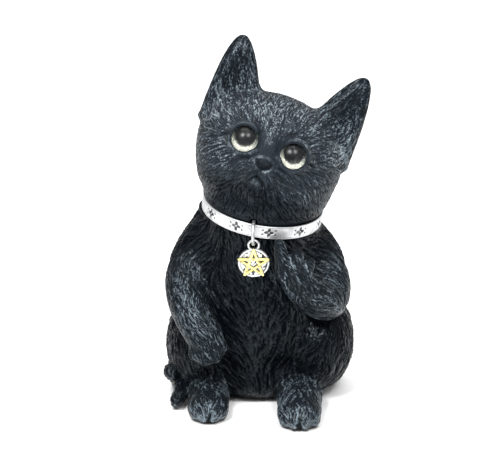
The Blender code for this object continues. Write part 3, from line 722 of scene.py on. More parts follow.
class Hairs:
    """Sample points of many strands, binned so that vertices can find them."""

    def __init__(self, seeds, length, width, height, step, curl, seed, stray=0.16):
        places, ways, normals = comb(seeds, length, step, curl, seed, stray)
        r = np.random.default_rng(seed + 1)
        steps = len(places)
        along = (np.arange(steps)[:, None] * step) / length[None, :]
        keep = along <= 1.0
        tone = r.random(len(seeds))
        lift = 0.7 + 0.6 * r.random(len(seeds))
        taper = np.clip(0.45 + 2.2 * along, 0, 1) * np.clip(1.0 - along, 0, 1) ** 0.55
        rise = (0.35 + 0.65 * np.clip(along, 0, 1) ** 0.9) * (1 - np.clip(along, 0, 1) ** 7)
        self.p = places[keep]
        self.t = ways[keep]
        self.n = normals[keep]
        self.b = np.cross(self.n, self.t)
        self.w = (np.clip(taper, 0.12, 1) * width[None, :])[keep]
        self.h = (rise * (height * lift)[None, :])[keep]
        self.tone = np.broadcast_to(tone, keep.shape)[keep]
        self.along = along[keep]
        self.step = step
        self.peak = float(height.max())
        self.reach = float(width.max()) + 0.35 * step

    def carve(self, verts):
        """Height of the highest strand over each vertex, and that strand's tone."""
        cell = self.reach
        low = np.minimum(verts.min(0), self.p.min(0)) - 2 * cell
        vk = np.floor((verts - low) / cell).astype(np.int64)
        size = vk.max(0) + 4
        code = (vk[:, 0] * size[1] + vk[:, 1]) * size[2] + vk[:, 2]
        order = np.argsort(code, kind="stable")
        code = code[order]
        sk = np.floor((self.p - low) / cell).astype(np.int64)
        near = ((sk >= 0) & (sk < size)).all(1)
        index = np.flatnonzero(near)
        height = np.zeros(len(verts))
        tone = np.full(len(verts), 0.5)
        for dx in (-1, 0, 1):
            for dy in (-1, 0, 1):
                k = sk[index] + np.array([dx, dy, 0])
                ok = (k[:, :2] >= 0).all(1) & (k[:, :2] < size[:2]).all(1)
                base = (k[:, 0] * size[1] + k[:, 1]) * size[2] + k[:, 2]
                start = np.searchsorted(code, base - 1, "left")
                stop = np.searchsorted(code, base + 1, "right")
                many = np.where(ok, stop - start, 0)
                if not many.any():
                    continue
                for part in np.array_split(np.arange(len(index)), max(1, int(many.sum() // 3000000) + 1)):
                    m = many[part]
                    total = int(m.sum())
                    if not total:
                        continue
                    s = np.repeat(index[part], m)
                    begin = np.repeat(start[part], m)
                    offset = np.arange(total) - np.repeat(np.cumsum(m) - m, m)
                    v = order[begin + offset]
                    q = verts[v] - self.p[s]
                    across = (q * self.b[s]).sum(1) / self.w[s]
                    fore = (q * self.t[s]).sum(1)
                    off = (q * self.n[s]).sum(1)
                    good = (np.abs(across) < 1) & (np.abs(fore) < 0.62 * self.step) & (np.abs(off) < 0.9)
                    v, s, across = v[good], s[good], across[good]
                    value = self.h[s] * (1 - np.abs(across) ** 1.6)
                    np.maximum.at(height, v, value)
                    best = value >= height[v] - 1e-9
                    tone[v[best]] = self.tone[s[best]]
        return height, tone, height / self.peak


# ------------------------------------------------------------------ skins of the castings
STEPS = {  # grid step
    "torso": 0.338, "head": 0.252, "left_ear": 0.28, "right_ear": 0.28, "raised": 0.27,
    "lowered": 0.27, "left_foot": 0.28, "right_foot": 0.28, "tail": 0.29,
}
skins = {}
for name, (_, low, high) in GROUPS.items():
    h = STEPS[name] * FINE
    low, high = np.array(low, float), np.array(high, float)
    if name in ("head", "torso"):
        low, high = low - 1, high + 1
    field = skin(name)
    verts, quads = net(field, low, high, h)
    verts = settle(field, verts, 2, 0.6 * h)
    piece, f, t = field(verts, True)
    skins[name] = {"verts": verts, "quads": quads, "f": f, "t": t}

FUR = {  # strand spacing, length, half width, height of hairs; the same of locks
    "torso": (0.96, 4.4, 0.37, 0.56, 2.9, 7.5, 1.4, 0.42),
    "head": (0.58, 2.1, 0.23, 0.25, 1.8, 3.8, 0.9, 0.14),
    "left_ear": (0.62, 2.2, 0.26, 0.12, 1.8, 5.0, 0.9, 0.07),
    "right_ear": (0.62, 2.2, 0.26, 0.12, 1.8, 5.0, 0.9, 0.07),
    "raised": (0.68, 2.4, 0.29, 0.24, 2.1, 4.6, 1.05, 0.16),
    "lowered": (0.66, 2.2, 0.29, 0.27, 2.1, 4.6, 1.05, 0.18),
    "left_foot": (0.76, 3.2, 0.31, 0.28, 2.2, 5.4, 1.15, 0.2),
    "right_foot": (0.76, 3.2, 0.31, 0.28, 2.2, 5.4, 1.15, 0.2),
    "tail": (0.85, 2.8, 0.36, 0.34, 2.3, 5.0, 1.15, 0.24),
}


def bare(p):
    """0 where there is no carved hair: nose, lids, mouth, seams, underside."""
    loc = to_head(p)
    keep = np.ones(len(p))
    front = loc[:, 2] > 4
    for side in (1, -1):
        apex, axes = eye_axes(side)
        q = (loc - apex) @ axes
        radial = np.hypot(q[:, 0], q[:, 1])
        keep = np.where(front, keep * (0.04 + 0.96 * smooth(radial, 4.15, 5.6)), keep)
    nose = np.hypot((loc[:, 0] + 0.9) / 2.5, (loc[:, 1] + 1.9) / 1.9)
    keep = np.where(front, keep * smooth(nose, 1.0, 1.5), keep)
    bridge = np.hypot((loc[:, 0] + 1.2) / 2.4, (loc[:, 1] - 1.2) / 3.4)
    keep = np.where(front, keep * (0.35 + 0.65 * smooth(bridge, 0.6, 1.4)), keep)
    mouth = np.hypot((loc[:, 0] + 1.1) / 2.6, (loc[:, 1] + 6.8) / 1.5)
    keep = np.where(front, keep * (0.25 + 0.75 * smooth(mouth, 0.7, 1.3)), keep)
    face = np.hypot((loc[:, 0] + 1.0) / 10.0, (loc[:, 1] + 1.0) / 9.0)
    keep = np.where(front, keep * (0.62 + 0.38 * smooth(face, 0.6, 1.2)), keep)
    radial, along, _ = collar_coordinates(p)
    high = (p[:, 2] > 40) & (radial < 18.7)
    keep = np.where(high, keep * smooth(np.abs(along), 2.1, 3.6), keep)
    return keep * smooth(p[:, 2], 0.35, 1.6)


hairs, locks = {}, {}
for k, name in enumerate(NAMES):
    s = skins[name]
    spacing, length, width, height, lock_gap, lock_length, lock_width, lock_height = FUR[name]
    real = (np.abs(s["f"]) < 0.03) & (s["t"] < 0.05) & (s["verts"][:, 2] > 0.7)
    s["real"] = real
    pool = s["verts"][real]
    r = np.random.default_rng(100 + k)
    pick = pool[scatter(pool, spacing, 200 + k)]
    size = np.ones(len(pick))
    if name == "head":
        loc = to_head(pick)
        size = 0.62 + 0.38 * smooth(np.hypot(loc[:, 0] / 11.0, (loc[:, 1] + 1.0) / 10.0) + (loc[:, 2] < 3) * 1.0, 0.35, 1.2)
    hairs[name] = Hairs(
        pick, length * size * (0.7 + 0.6 * r.random(len(pick))), width * (0.75 + 0.25 * size) * (0.8 + 0.4 * r.random(len(pick))),
        np.full(len(pick), height) * (0.6 + 0.4 * size), 0.34 if name != "torso" else 0.42, 0.14 if name == "head" else 0.3, 300 + k, 0.09 if name == "head" else 0.16,
    )
    pick = pool[scatter(pool, lock_gap, 400 + k)]
    locks[name] = Hairs(
        pick, lock_length * (0.7 + 0.6 * r.random(len(pick))), lock_width * (0.8 + 0.4 * r.random(len(pick))),
        np.full(len(pick), lock_height), 0.6, 0.28, 500 + k,
    )


def neighbours(name):
    low = skins[name]["verts"].min(0) - 1.5
    high = skins[name]["verts"].max(0) + 1.5
    return [n for n in NAMES if ((skins[n]["verts"].min(0) < high) & (skins[n]["verts"].max(0) > low)).all()]


PIECES = {
    "torso": "torso_shell", "head": "head_shell", "left_ear": "left_ear", "right_ear": "right_ear",
    "raised": "raised_foreleg", "lowered": "lowered_foreleg", "left_foot": "left_hind_foot",
    "right_foot": "right_hind_foot", "tail": "tail",
}


# How much grey is dry-brushed on, by region; it also paints light and shade: more on the top of the head, the brow, the
# muzzle, the cheek and shoulder on the key lamp's side and the fronts of the forelegs, less under the chin and low on
# the body.
def brush_and_painted_light_of(p, name):
    loc = to_head(p)
    if name == "head":
        top = smooth(loc[:, 1], -1.0, 13.0)
        cheek = blob(loc, (-11.0, -2.0, 10.0), 6.5) + 0.5 * blob(loc, (8.0, -3.0, 10.0), 5.5)
        brow = blob(loc, (-0.4, 6.6, 12.0), 2.2) + blob(loc, (0.6, 9.0, 12.0), 2.2) + blob(loc, (-2.8, 8.8, 12.0), 2.2)
        muzzle = blob(loc, (1.0, -3.9, 14.0), 1.8) + 0.7 * blob(loc, (-4.2, -3.4, 13.0), 2.6)
        low = smooth(-loc[:, 1], 6.0, 12.0)
        # painted light on the top of the head and the key-lit cheek, painted shade under the chin
        return 0.62 + 1.15 * top + 0.28 * cheek + 0.4 * muzzle + 0.35 * brow - 0.8 * low
    if "ear" in name:
        return 0.62 + 0.5 * smooth(loc[:, 2], -2.2, 1.2)
    if name == "torso":
        # painted light on the upper body and the shoulders, more on the key lamp's side
        return 0.03 + 0.08 * smooth(p[:, 2], 16.0, 36.0) + 0.12 * blob(p, (-17.0, -8.0, 40.0), 8.0) + 0.08 * blob(p, (16.0, -8.0, 42.0), 8.0)
    if name == "lowered":
        return 0.24 + 0.54 * smooth(-p[:, 1], 2.0, 12.0)
    if name == "raised":
        return 0.42 + 0.4 * smooth(-p[:, 1], 2.0, 14.0) + 0.35 * blob(p, (8.0, -21.0, 43.0), 7.0)
    return np.full(len(p), {"left_foot": 1.1, "right_foot": 1.1, "tail": 0.45}[name])


def mixed(p, d, of, reach=1.6):
    """A value of each casting, mixed where two meet."""
    total = np.zeros(len(p))
    for name, w in shares(d, reach).items():
        use = w > 0.01
        if use.any():
            total[use] += w[use] * of(p[use], name)
    return total


def mesh_object(name, verts, faces, smooth_shading=True):
    """A mesh object from millimetre points in the drawing's frame."""
    mesh = bpy.data.meshes.new(name)
    co = ((verts + SHIFT) * MM).astype(np.float32)
    mesh.vertices.add(len(co))
    mesh.vertices.foreach_set("co", co.ravel())
    width = faces.shape[1]
    mesh.loops.add(faces.size)
    mesh.loops.foreach_set("vertex_index", faces.astype(np.int32).ravel())
    mesh.polygons.add(len(faces))
    mesh.polygons.foreach_set("loop_start", (np.arange(len(faces)) * width).astype(np.int32))
    mesh.polygons.foreach_set("loop_total", np.full(len(faces), width, np.int32))
    mesh.update(calc_edges=True)
    mesh.validate()
    if smooth_shading:
        mesh.shade_smooth()
    obj = bpy.data.objects.new(name, mesh)
    bpy.context.scene.collection.objects.link(obj)
    return obj


def attribute(obj, name, values):
    made = obj.data.attributes.new(name, "FLOAT", "POINT")
    made.data.foreach_set("value", np.asarray(values, np.float32))


castings = {}
for name in NAMES:
    s = skins[name]
    verts = s["verts"]
    real = s["real"]
    n = unit(slope(whole, verts, 0.08))
    height, tone, shape = np.zeros(len(verts)), np.full(len(verts), 0.5), np.zeros(len(verts))
    bulk, swell = np.zeros(len(verts)), np.zeros(len(verts))
    near = neighbours(name)
    for other in near:
        a, b, c = hairs[other].carve(verts)
        more = a > height
        height[more], tone[more], shape[more] = a[more], b[more], c[more]
        a, _, c = locks[other].carve(verts)
        bulk, swell = np.maximum(bulk, a), np.maximum(swell, c)
    d = groups_at(verts)
    hair = mixed(verts, d, lambda q, other: np.full(len(q), FUR[other][3]), 1.0)
    lock = mixed(verts, d, lambda q, other: np.full(len(q), FUR[other][7]), 1.0)
    amount = bare(verts) * np.where(np.abs(s["f"]) < 0.05, 1.0, 0.0) * smooth(-s["t"], -0.5, -0.2)
    grain = 0.02 * ripple(verts, 1.3, 21)
    lift = amount * (height - 0.62 * hair + bulk - 0.75 * lock) + amount * grain
    moved = verts + n * lift[:, None]
    moved[:, 2] = np.maximum(moved[:, 2], 0.3)
    obj = mesh_object(PIECES[name] + "_fur", moved, s["quads"])
    shown = np.clip(amount * 1.5, 0, 1)
    bare_tone_and_painted_light = np.full(len(verts), 0.35)
    if name == "head":
        loc = to_head(verts)
        front = smooth(loc[:, 2], 4.0, 8.0)
        carved = sum(depth * stroke(loc, line, width) for line, width, depth in STROKES)
        pad = np.hypot((loc[:, 0] + 0.9) / 2.0, (loc[:, 1] + 2.0) / 1.35)
        # painted shade in the carved lines (mouth, nostrils, the creases round the nose and lids), raised lines a
        # little lighter; the nose pad a darker tone
        bare_tone_and_painted_light = bare_tone_and_painted_light + front * (0.12 - 2.4 * np.clip(carved, -0.06, 1) - 0.3 * (1 - smooth(pad, 0.8, 1.15)))
        # painted highlights, partly brushed grey: below the nose, on the brow and on the lower lip
        bare_tone_and_painted_light = bare_tone_and_painted_light + front * (0.3 * blob(loc[:, :2], (0.9, -3.9), 1.1) + 0.2 * blob(loc[:, :2], (-0.6, 6.0), 1.5) + 0.25 * blob(loc[:, :2], (-1.1, -8.3), 0.9))
        for side in (1, -1):
            apex, eye = eye_axes(side)
            q = (loc - apex) @ eye
            # painted shade: a dark ring round each eye in the crevice against the glass, wider at the top under the
            # upper lid
            rim = np.hypot(q[:, 0], q[:, 1]) - 3.42 - 0.22 * smooth(q[:, 1], -2.5, 2.5)
            bare_tone_and_painted_light = bare_tone_and_painted_light - front * 0.9 * (1 - smooth(rim, 0.12, 0.42))
        bare_tone_and_painted_light = np.clip(bare_tone_and_painted_light, 0, 1)
    attribute(obj, "relief", np.clip(shape * 0.95, 0, 1) * shown + bare_tone_and_painted_light * (1 - shown))
    attribute(obj, "bulk", np.clip(swell, 0, 1) * shown + 0.7 * (1 - shown))
    attribute(obj, "tone", tone)
    attribute(obj, "brush_and_painted_light", np.clip(mixed(verts, d, brush_and_painted_light_of), 0, 1))
    castings[name] = obj


# ------------------------------------------------------------------ node materials
def material(name):
    mat = bpy.data.materials.new(name)
    mat.use_nodes = True
    tree = mat.node_tree
    shader = tree.nodes["Principled BSDF"]
    return mat, tree, shader


def node(tree, kind, **values):
    made = tree.nodes.new(kind)
    for key, value in values.items():
        if hasattr(made, key):
            setattr(made, key, value)
        else:
            made.inputs[key].default_value = value
    return made


def link(tree, a, b):
    tree.links.new(a, b)


def sum_of(tree, kind, a, b, clamp=False):
    made = tree.nodes.new("ShaderNodeMath")
    made.operation = kind
    made.use_clamp = clamp
    for socket, value in zip(made.inputs, (a, b)):
        if isinstance(value, (int, float)):
            socket.default_value = value
        else:
            tree.links.new(value, socket)
    return made.outputs[0]


def mix(tree, factor, a, b, blend="MIX"):
    made = tree.nodes.new("ShaderNodeMix")
    made.data_type = "RGBA"
    made.blend_type = blend
    for socket, value in ((made.inputs[0], factor), (made.inputs[6], a), (made.inputs[7], b)):
        if isinstance(value, (int, float)):
            socket.default_value = value
        elif isinstance(value, tuple):
            socket.default_value = (*value, 1.0) if len(value) == 3 else value
        else:
            tree.links.new(value, socket)
    return made.outputs[2]


def ramp(tree, value, *stops):
    made = tree.nodes.new("ShaderNodeValToRGB")
    bar = made.color_ramp
    while len(bar.elements) < len(stops):
        bar.elements.new(0.5)
    for element, (place, colour) in zip(bar.elements, stops):
        element.position = place
        element.color = (*colour, 1.0) if isinstance(colour, tuple) else (colour, colour, colour, 1.0)
    tree.links.new(value, made.inputs[0])
    return made.outputs[0]


def noise(tree, vector, scale, detail=3.0, rough=0.55):
    made = node(tree, "ShaderNodeTexNoise", Scale=scale, Detail=detail, Roughness=rough)
    tree.links.new(vector, made.inputs["Vector"])
    return made.outputs[0]


def bump(tree, shader, height, distance, strength=1.0):
    made = node(tree, "ShaderNodeBump", Strength=strength, Distance=distance)
    tree.links.new(height, made.inputs["Height"])
    tree.links.new(made.outputs[0], shader.inputs["Normal"])


def fur_material(name, painted_shade, body, grey, gloss, sheen):
    mat, tree, shader = material(name)
    place = tree.nodes.new("ShaderNodeTexCoord").outputs["Object"]
    relief = node(tree, "ShaderNodeAttribute", attribute_name="relief").outputs["Fac"]
    bulk = node(tree, "ShaderNodeAttribute", attribute_name="bulk").outputs["Fac"]
    tone = node(tree, "ShaderNodeAttribute", attribute_name="tone").outputs["Fac"]
    brush_and_painted_light = node(tree, "ShaderNodeAttribute", attribute_name="brush_and_painted_light").outputs["Fac"]
    patch = noise(tree, place, 130.0, 3.0)
    fleck = noise(tree, place, 1400.0, 2.0)
    # painted shade: the grooves, the gaps between locks and the places with little brushed grey (under the chin, low on
    # the body) are darkened to the shade colour; the strands are blue-black
    base = mix(tree, ramp(tree, relief, (0.1, 0.0), (0.75, 1.0)), painted_shade, body)
    base = mix(tree, sum_of(tree, "MULTIPLY", tone, 0.4), base, tuple(c * 1.7 for c in body))
    # painted shade in the gaps between the locks
    base = mix(tree, ramp(tree, bulk, (0.1, 0.55), (0.6, 0.0)), base, painted_shade)
    # painted shade where little grey is brushed on: under the chin, low on the body
    base = mix(tree, ramp(tree, brush_and_painted_light, (0.0, 0.6), (0.55, 0.0)), base, painted_shade)
    # a thin haze of grey left in the grooves, then grey over the ridges: partly dry-brushed paint, partly painted
    # highlights that stand in for glints on the strands
    base = mix(tree, ramp(tree, brush_and_painted_light, (0.15, 0.0), (1.0, 0.034)), base, grey)
    ridge = sum_of(tree, "ADD", sum_of(tree, "MULTIPLY", relief, 0.8), sum_of(tree, "MULTIPLY", bulk, 0.2))
    ridge = sum_of(tree, "ADD", ridge, sum_of(tree, "MULTIPLY", sum_of(tree, "SUBTRACT", fleck, 0.5), 0.5))
    ridge = sum_of(tree, "ADD", ridge, sum_of(tree, "MULTIPLY", sum_of(tree, "SUBTRACT", patch, 0.5), 0.4))
    ridge = sum_of(tree, "ADD", ridge, sum_of(tree, "MULTIPLY", brush_and_painted_light, 0.16))
    mask = ramp(tree, ridge, (0.66, 0.0), (0.98, 1.0))
    amount = sum_of(tree, "MULTIPLY", sum_of(tree, "MULTIPLY", mask, 0.88), brush_and_painted_light, True)
    colour = mix(tree, amount, base, grey)
    link(tree, colour, shader.inputs["Base Color"])
    rough = sum_of(tree, "ADD", sum_of(tree, "MULTIPLY", fleck, 0.22), gloss - 0.11)
    rough = sum_of(tree, "ADD", rough, sum_of(tree, "MULTIPLY", amount, 0.1), True)
    link(tree, rough, shader.inputs["Roughness"])
    shine = sum_of(tree, "MULTIPLY", ramp(tree, relief, (0.3, 0.02), (0.92, sheen)), ramp(tree, brush_and_painted_light, (0.0, 0.7), (0.5, 1.0)))
    link(tree, shine, shader.inputs["Specular IOR Level"])
    shader.inputs["Specular Tint"].default_value = (0.78, 0.92, 1.0, 1.0)
    bump(tree, shader, fleck, 0.00005, 0.5)
    return mat


FUR_BODY = fur_material("carved_black_body", (0.0011, 0.0017, 0.0026), (0.0021, 0.0034, 0.0054), (0.16, 0.20, 0.23), 0.31, 0.44)
# the head's copy of the black fur is lighter throughout: partly more dry-brushed grey, partly painted light on the head
FUR_HEAD = fur_material("brushed_black_head", (0.0016, 0.0023, 0.0034), (0.0125, 0.0168, 0.0225), (0.26, 0.305, 0.335), 0.34, 0.55)

for name, obj in castings.items():
    obj.data.materials.append(FUR_HEAD if name == "head" else FUR_BODY)
    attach(obj, "figure")
    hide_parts(PIECES[name])


def lathe(name, profile, axes, origin, segments):
    """A turned closed solid: profile of (radius, height) from the axis round to the axis."""
    verts, faces = [], []
    rows = []
    for r, z in profile:
        if r < 1e-6:
            rows.append([len(verts)])
            verts.append(origin + axes[:, 2] * z)
            continue
        row = []
        for i in range(segments):
            a = 2 * math.pi * i / segments
            row.append(len(verts))
            verts.append(origin + axes[:, 0] * (r * math.cos(a)) + axes[:, 1] * (r * math.sin(a)) + axes[:, 2] * z)
        rows.append(row)
    for a, b in zip(rows, rows[1:]):
        for i in range(segments):
            j = (i + 1) % segments
            if len(a) == 1:
                faces.append((a[0], b[i], b[j]))
            elif len(b) == 1:
                faces.append((a[j], a[i], b[0]))
            else:
                faces.append((a[j], a[i], b[i], b[j]))
    bm = bmesh.new()
    made = [bm.verts.new((Vector(v) + Vector(SHIFT)) * MM) for v in verts]
    for f in faces:
        bm.faces.new([made[i] for i in f])
    bmesh.ops.recalc_face_normals(bm, faces=bm.faces)
    mesh = bpy.data.meshes.new(name)
    bm.to_mesh(mesh)
    bm.free()
    mesh.shade_smooth()
    mesh.set_sharp_from_angle(angle=math.radians(50))
    obj = bpy.data.objects.new(name, mesh)
    bpy.context.scene.collection.objects.link(obj)
    return obj


# ------------------------------------------------------------------ eyes
def eye_world(side):
    apex, axes = eye_axes(side)
    return from_head(apex), HEAD_AXES @ axes


glass, tree, shader = material("eye_glass_clear")
shader.inputs["Base Color"].default_value = (0.97, 0.985, 0.97, 1)
shader.inputs["Transmission Weight"].default_value = 1.0
shader.inputs["IOR"].default_value = 1.36
place = tree.nodes.new("ShaderNodeTexCoord").outputs["Object"]
smear = noise(tree, place, 260.0, 3.0)
link(tree, ramp(tree, smear, (0.4, 0.275), (0.8, 0.29)), shader.inputs["Roughness"])

for side, word in ((1, "left"), (-1, "right")):
    origin, axes = eye_world(side)
    sweep = math.asin(EYE_RADIUS / EYE_DOME)
    profile = [(EYE_DOME * math.sin(sweep * i / 20), EYE_DOME * (math.cos(sweep * i / 20) - 1)) for i in range(21)]
    edge = profile[-1][1]
    profile[-1] = (EYE_RADIUS - 0.03, edge + 0.02)
    profile += [(EYE_RADIUS, edge - 0.05), (EYE_RADIUS, -EYE_THICK + 0.08), (EYE_RADIUS - 0.08, -EYE_THICK), (0.0, -EYE_THICK)]
    dome = lathe(f"{word}_eye_dome", profile, axes, origin, 96)
    dome.data.materials.append(glass)
    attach(dome, "figure")
    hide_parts(f"{word}_eye_glass")

    back = -EYE_THICK + 0.06
    iris = lathe(
        f"{word}_eye_painted_iris",
        [(0.0, back), (1.2, back), (2.4, back), (IRIS_RADIUS - 0.1, back), (IRIS_RADIUS, back - 0.1), (IRIS_RADIUS, back - 0.55), (0.0, back - 0.55)],
        axes, origin, 96,
    )
    paint, tree, shader = material(f"{word}_iris_paint")
    pos = tree.nodes.new("ShaderNodeTexCoord").outputs["Object"]
    centre = (origin + SHIFT) * MM
    shift = node(tree, "ShaderNodeVectorMath", operation="SUBTRACT")
    link(tree, pos, shift.inputs[0])
    shift.inputs[1].default_value = tuple(centre)
    parts = []
    for axis in (axes[:, 0], axes[:, 1]):
        dot = node(tree, "ShaderNodeVectorMath", operation="DOT_PRODUCT")
        link(tree, shift.outputs[0], dot.inputs[0])
        dot.inputs[1].default_value = tuple(axis / MM)
        parts.append(dot.outputs["Value"])
    x, y = parts
    height = y
    y = sum_of(tree, "SUBTRACT", y, 0.6)
    x = sum_of(tree, "SUBTRACT", x, -0.1)
    radius = sum_of(tree, "SQRT", sum_of(tree, "ADD", sum_of(tree, "MULTIPLY", x, x), sum_of(tree, "MULTIPLY", y, y)), 0.0)
    angle = sum_of(tree, "ARCTAN2", y, x)
    spokes = node(tree, "ShaderNodeCombineXYZ")
    link(tree, sum_of(tree, "MULTIPLY", angle, 9.0), spokes.inputs[0])
    link(tree, sum_of(tree, "MULTIPLY", radius, 0.7), spokes.inputs[1])
    fibres = noise(tree, spokes.outputs[0], 1.6, 3.0)
    r = sum_of(tree, "ADD", radius, sum_of(tree, "MULTIPLY", sum_of(tree, "SUBTRACT", fibres, 0.5), 0.3))
    low = sum_of(tree, "ADD", sum_of(tree, "MULTIPLY", height, -0.25), 0.5)
    glow = ramp(tree, low, (0.3, (0.06, 0.07, 0.07)), (0.62, (0.34, 0.355, 0.32)), (0.88, (0.84, 0.84, 0.74)))
    glow = mix(tree, ramp(tree, fibres, (0.3, 0.0), (0.75, 0.4)), glow, (0.5, 0.5, 0.38), "MULTIPLY")
    colour = mix(tree, ramp(tree, sum_of(tree, "DIVIDE", r, 5.0), (0.44, 0.0), (0.52, 1.0)), (0.003, 0.004, 0.005), glow)
    # painted light: the iris paint also glows faintly, making up for the little light that reaches it through the glass
    link(tree, colour, shader.inputs["Emission Color"])
    shader.inputs["Emission Strength"].default_value = 0.12
    link(tree, colour, shader.inputs["Base Color"])
    shader.inputs["Specular IOR Level"].default_value = 0.05
    link(tree, ramp(tree, fibres, (0.3, 0.4), (0.7, 0.6)), shader.inputs["Roughness"])
    bump(tree, shader, fibres, 0.00004, 0.4)
    iris.data.materials.append(paint)
    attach(iris, "figure")
    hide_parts(f"{word}_eye_iris")

# ------------------------------------------------------------------ silver and gold


def metal_material(name, bright, dull, rough, patina_and_shadow_colour, scale=900.0):
    mat, tree, shader = material(name)
    shader.inputs["Metallic"].default_value = 1.0
    place = tree.nodes.new("ShaderNodeTexCoord").outputs["Object"]
    coarse = noise(tree, place, scale * 0.25, 4.0)
    fine = noise(tree, place, scale, 3.0)
    worn = ramp(tree, coarse, (0.42, 0.0), (0.66, 1.0))
    colour = mix(tree, sum_of(tree, "MULTIPLY", worn, 0.75), bright, dull)
    sunk = node(tree, "ShaderNodeAttribute", attribute_name="sunk").outputs["Fac"]
    # patina in the hollows; on the coin the same darkening paints the shadow line in the slot
    patina_and_shadow_mask = sum_of(tree, "MULTIPLY", sunk, ramp(tree, fine, (0.3, 0.7), (0.62, 1.0)), True)
    colour = mix(tree, patina_and_shadow_mask, colour, patina_and_shadow_colour)
    link(tree, colour, shader.inputs["Base Color"])
    r = sum_of(tree, "ADD", sum_of(tree, "MULTIPLY", fine, 0.22), rough - 0.1)
    r = sum_of(tree, "ADD", r, sum_of(tree, "MULTIPLY", patina_and_shadow_mask, 0.35), True)
    link(tree, r, shader.inputs["Roughness"])
    bump(tree, shader, fine, 0.00003, 0.6)
    return mat


SILVER = metal_material("silver_plate_worn", (0.74, 0.75, 0.75), (0.38, 0.39, 0.4), 0.44, (0.035, 0.035, 0.04))
GOLD = metal_material("gold_plate_worn", (0.96, 0.84, 0.34), (0.82, 0.68, 0.24), 0.3, (0.26, 0.2, 0.07))

# the band, with small four-petalled motifs pressed in all round
around, high = 900, 36
half, thick = COLLAR_HEIGHT / 2, COLLAR_THICK / 2
section = []
for i in range(high + 1):  # outer face, bottom to top
    section.append((thick, -half + 0.12 + (COLLAR_HEIGHT - 0.24) * i / high))
lip = [(thick * math.cos(a), half - 0.12 + 0.12 * math.sin(a)) for a in np.linspace(0.3, math.pi - 0.3, 5)]
section += lip
section += [(-thick, half - 0.12), (-thick, 0.0), (-thick, -half + 0.12)]
section += [(thick * math.cos(a), -half + 0.12 + 0.12 * math.sin(a)) for a in np.linspace(math.pi + 0.3, 2 * math.pi - 0.3, 5)]
section = np.array(section)
turn = 2 * math.pi * np.arange(around) / around
R = COLLAR_RADIUS + section[:, 0][None, :] + np.zeros((around, 1))
Z = section[:, 1][None, :] + np.zeros((around, 1))
A = turn[:, None] + np.zeros((1, len(section)))
outer = (np.arange(len(section)) <= high)[None, :]
pitch_angle = 2 * math.pi / 11
local = ((A - math.radians(7.0) + pitch_angle / 2) % pitch_angle - pitch_angle / 2) * COLLAR_RADIUS
r = np.hypot(local, Z)
theta = np.arctan2(Z, local)
petal = 1.26 * (0.46 + 0.58 * np.abs(np.cos(2 * theta)) ** 1.3)
inside = smooth(petal - r, -0.08, 0.16) * smooth(r, 0.12, 0.3)
halo = np.exp(-((r - petal - 0.18) / 0.12) ** 2) * (r < 1.6)
side_dot = sum(smooth(0.26 - np.hypot(np.abs(local) - 1.75, Z - dz), -0.05, 0.08) for dz in (-0.62, 0.62))
rails = np.exp(-((np.abs(Z) - 1.38) / 0.09) ** 2)
dent = 0.05 * np.sin(A * 23 + 1.3) * np.sin(A * 7 + Z) * 0.25
press = np.where(outer, -0.2 * inside - 0.16 * side_dot + 0.05 * halo - 0.05 * rails + dent * 0.4, 0.0)
R = R + press
co = (
    COLLAR_CENTRE
    + COLLAR_AXES[:, 0] * (R * np.sin(A))[..., None]
    - COLLAR_AXES[:, 1] * (R * np.cos(A))[..., None]
    + COLLAR_NORMAL * Z[..., None]
).reshape(-1, 3)
m = len(section)
i, j = np.meshgrid(np.arange(around), np.arange(m), indexing="ij")
quads = np.stack([i * m + j, ((i + 1) % around) * m + j, ((i + 1) % around) * m + (j + 1) % m, i * m + (j + 1) % m], -1).reshape(-1, 4)
band = mesh_object("collar_band_pressed", co, quads)
attribute(band, "sunk", np.where(outer, np.clip(inside * 0.95 + side_dot + rails * 0.35, 0, 1), 0.0).ravel())
band.data.materials.append(SILVER)
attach(band, "figure")
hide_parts("collar_band")

# the jump ring: a round wire with a butt joint, from the CAD ring's own box
low, high_corner = (np.array(v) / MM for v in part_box("jump_ring"))
centre = (low + high_corner) / 2 - SHIFT
wire = (high_corner[0] - low[0]) / 2
major = (high_corner[2] - low[2]) / 2 - wire
yaw = math.radians(5.0)
count, sides = 160, 20
gap = 0.05 / major
verts, faces = [], []
start = math.radians(118.0)
for i in range(count + 1):
    a = start + gap / 2 + (2 * math.pi - gap) * i / count
    radial = np.array([-math.sin(yaw) * math.cos(a) * -1, math.cos(yaw) * math.cos(a) * -1, math.sin(a)])
    radial = np.array([math.sin(yaw) * math.cos(a), math.cos(yaw) * math.cos(a), math.sin(a)])
    normal = np.array([math.cos(yaw), -math.sin(yaw), 0.0])
    end = 0.93 if i in (0, count) else 1.0
    for k in range(sides):
        b = 2 * math.pi * k / sides
        verts.append(centre + radial * (major + wire * end * math.cos(b)) + normal * wire * end * math.sin(b))
for i in range(count):
    for k in range(sides):
        faces.append((i * sides + k, i * sides + (k + 1) % sides, (i + 1) * sides + (k + 1) % sides, (i + 1) * sides + k))
bm = bmesh.new()
made = [bm.verts.new((Vector(v) + Vector(SHIFT)) * MM) for v in verts]
for f in faces:
    bm.faces.new([made[q] for q in f])
bm.faces.new(made[:sides])
bm.faces.new(list(reversed(made[-sides:])))
bmesh.ops.recalc_face_normals(bm, faces=bm.faces)
mesh = bpy.data.meshes.new("jump_ring_wire")
bm.to_mesh(mesh)
bm.free()
mesh.shade_smooth()
mesh.set_sharp_from_angle(angle=math.radians(60))
ring = bpy.data.objects.new("jump_ring_wire", mesh)
bpy.context.scene.collection.objects.link(ring)
ring.data.materials.append(SILVER)
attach(ring, "ring")
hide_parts("jump_ring")

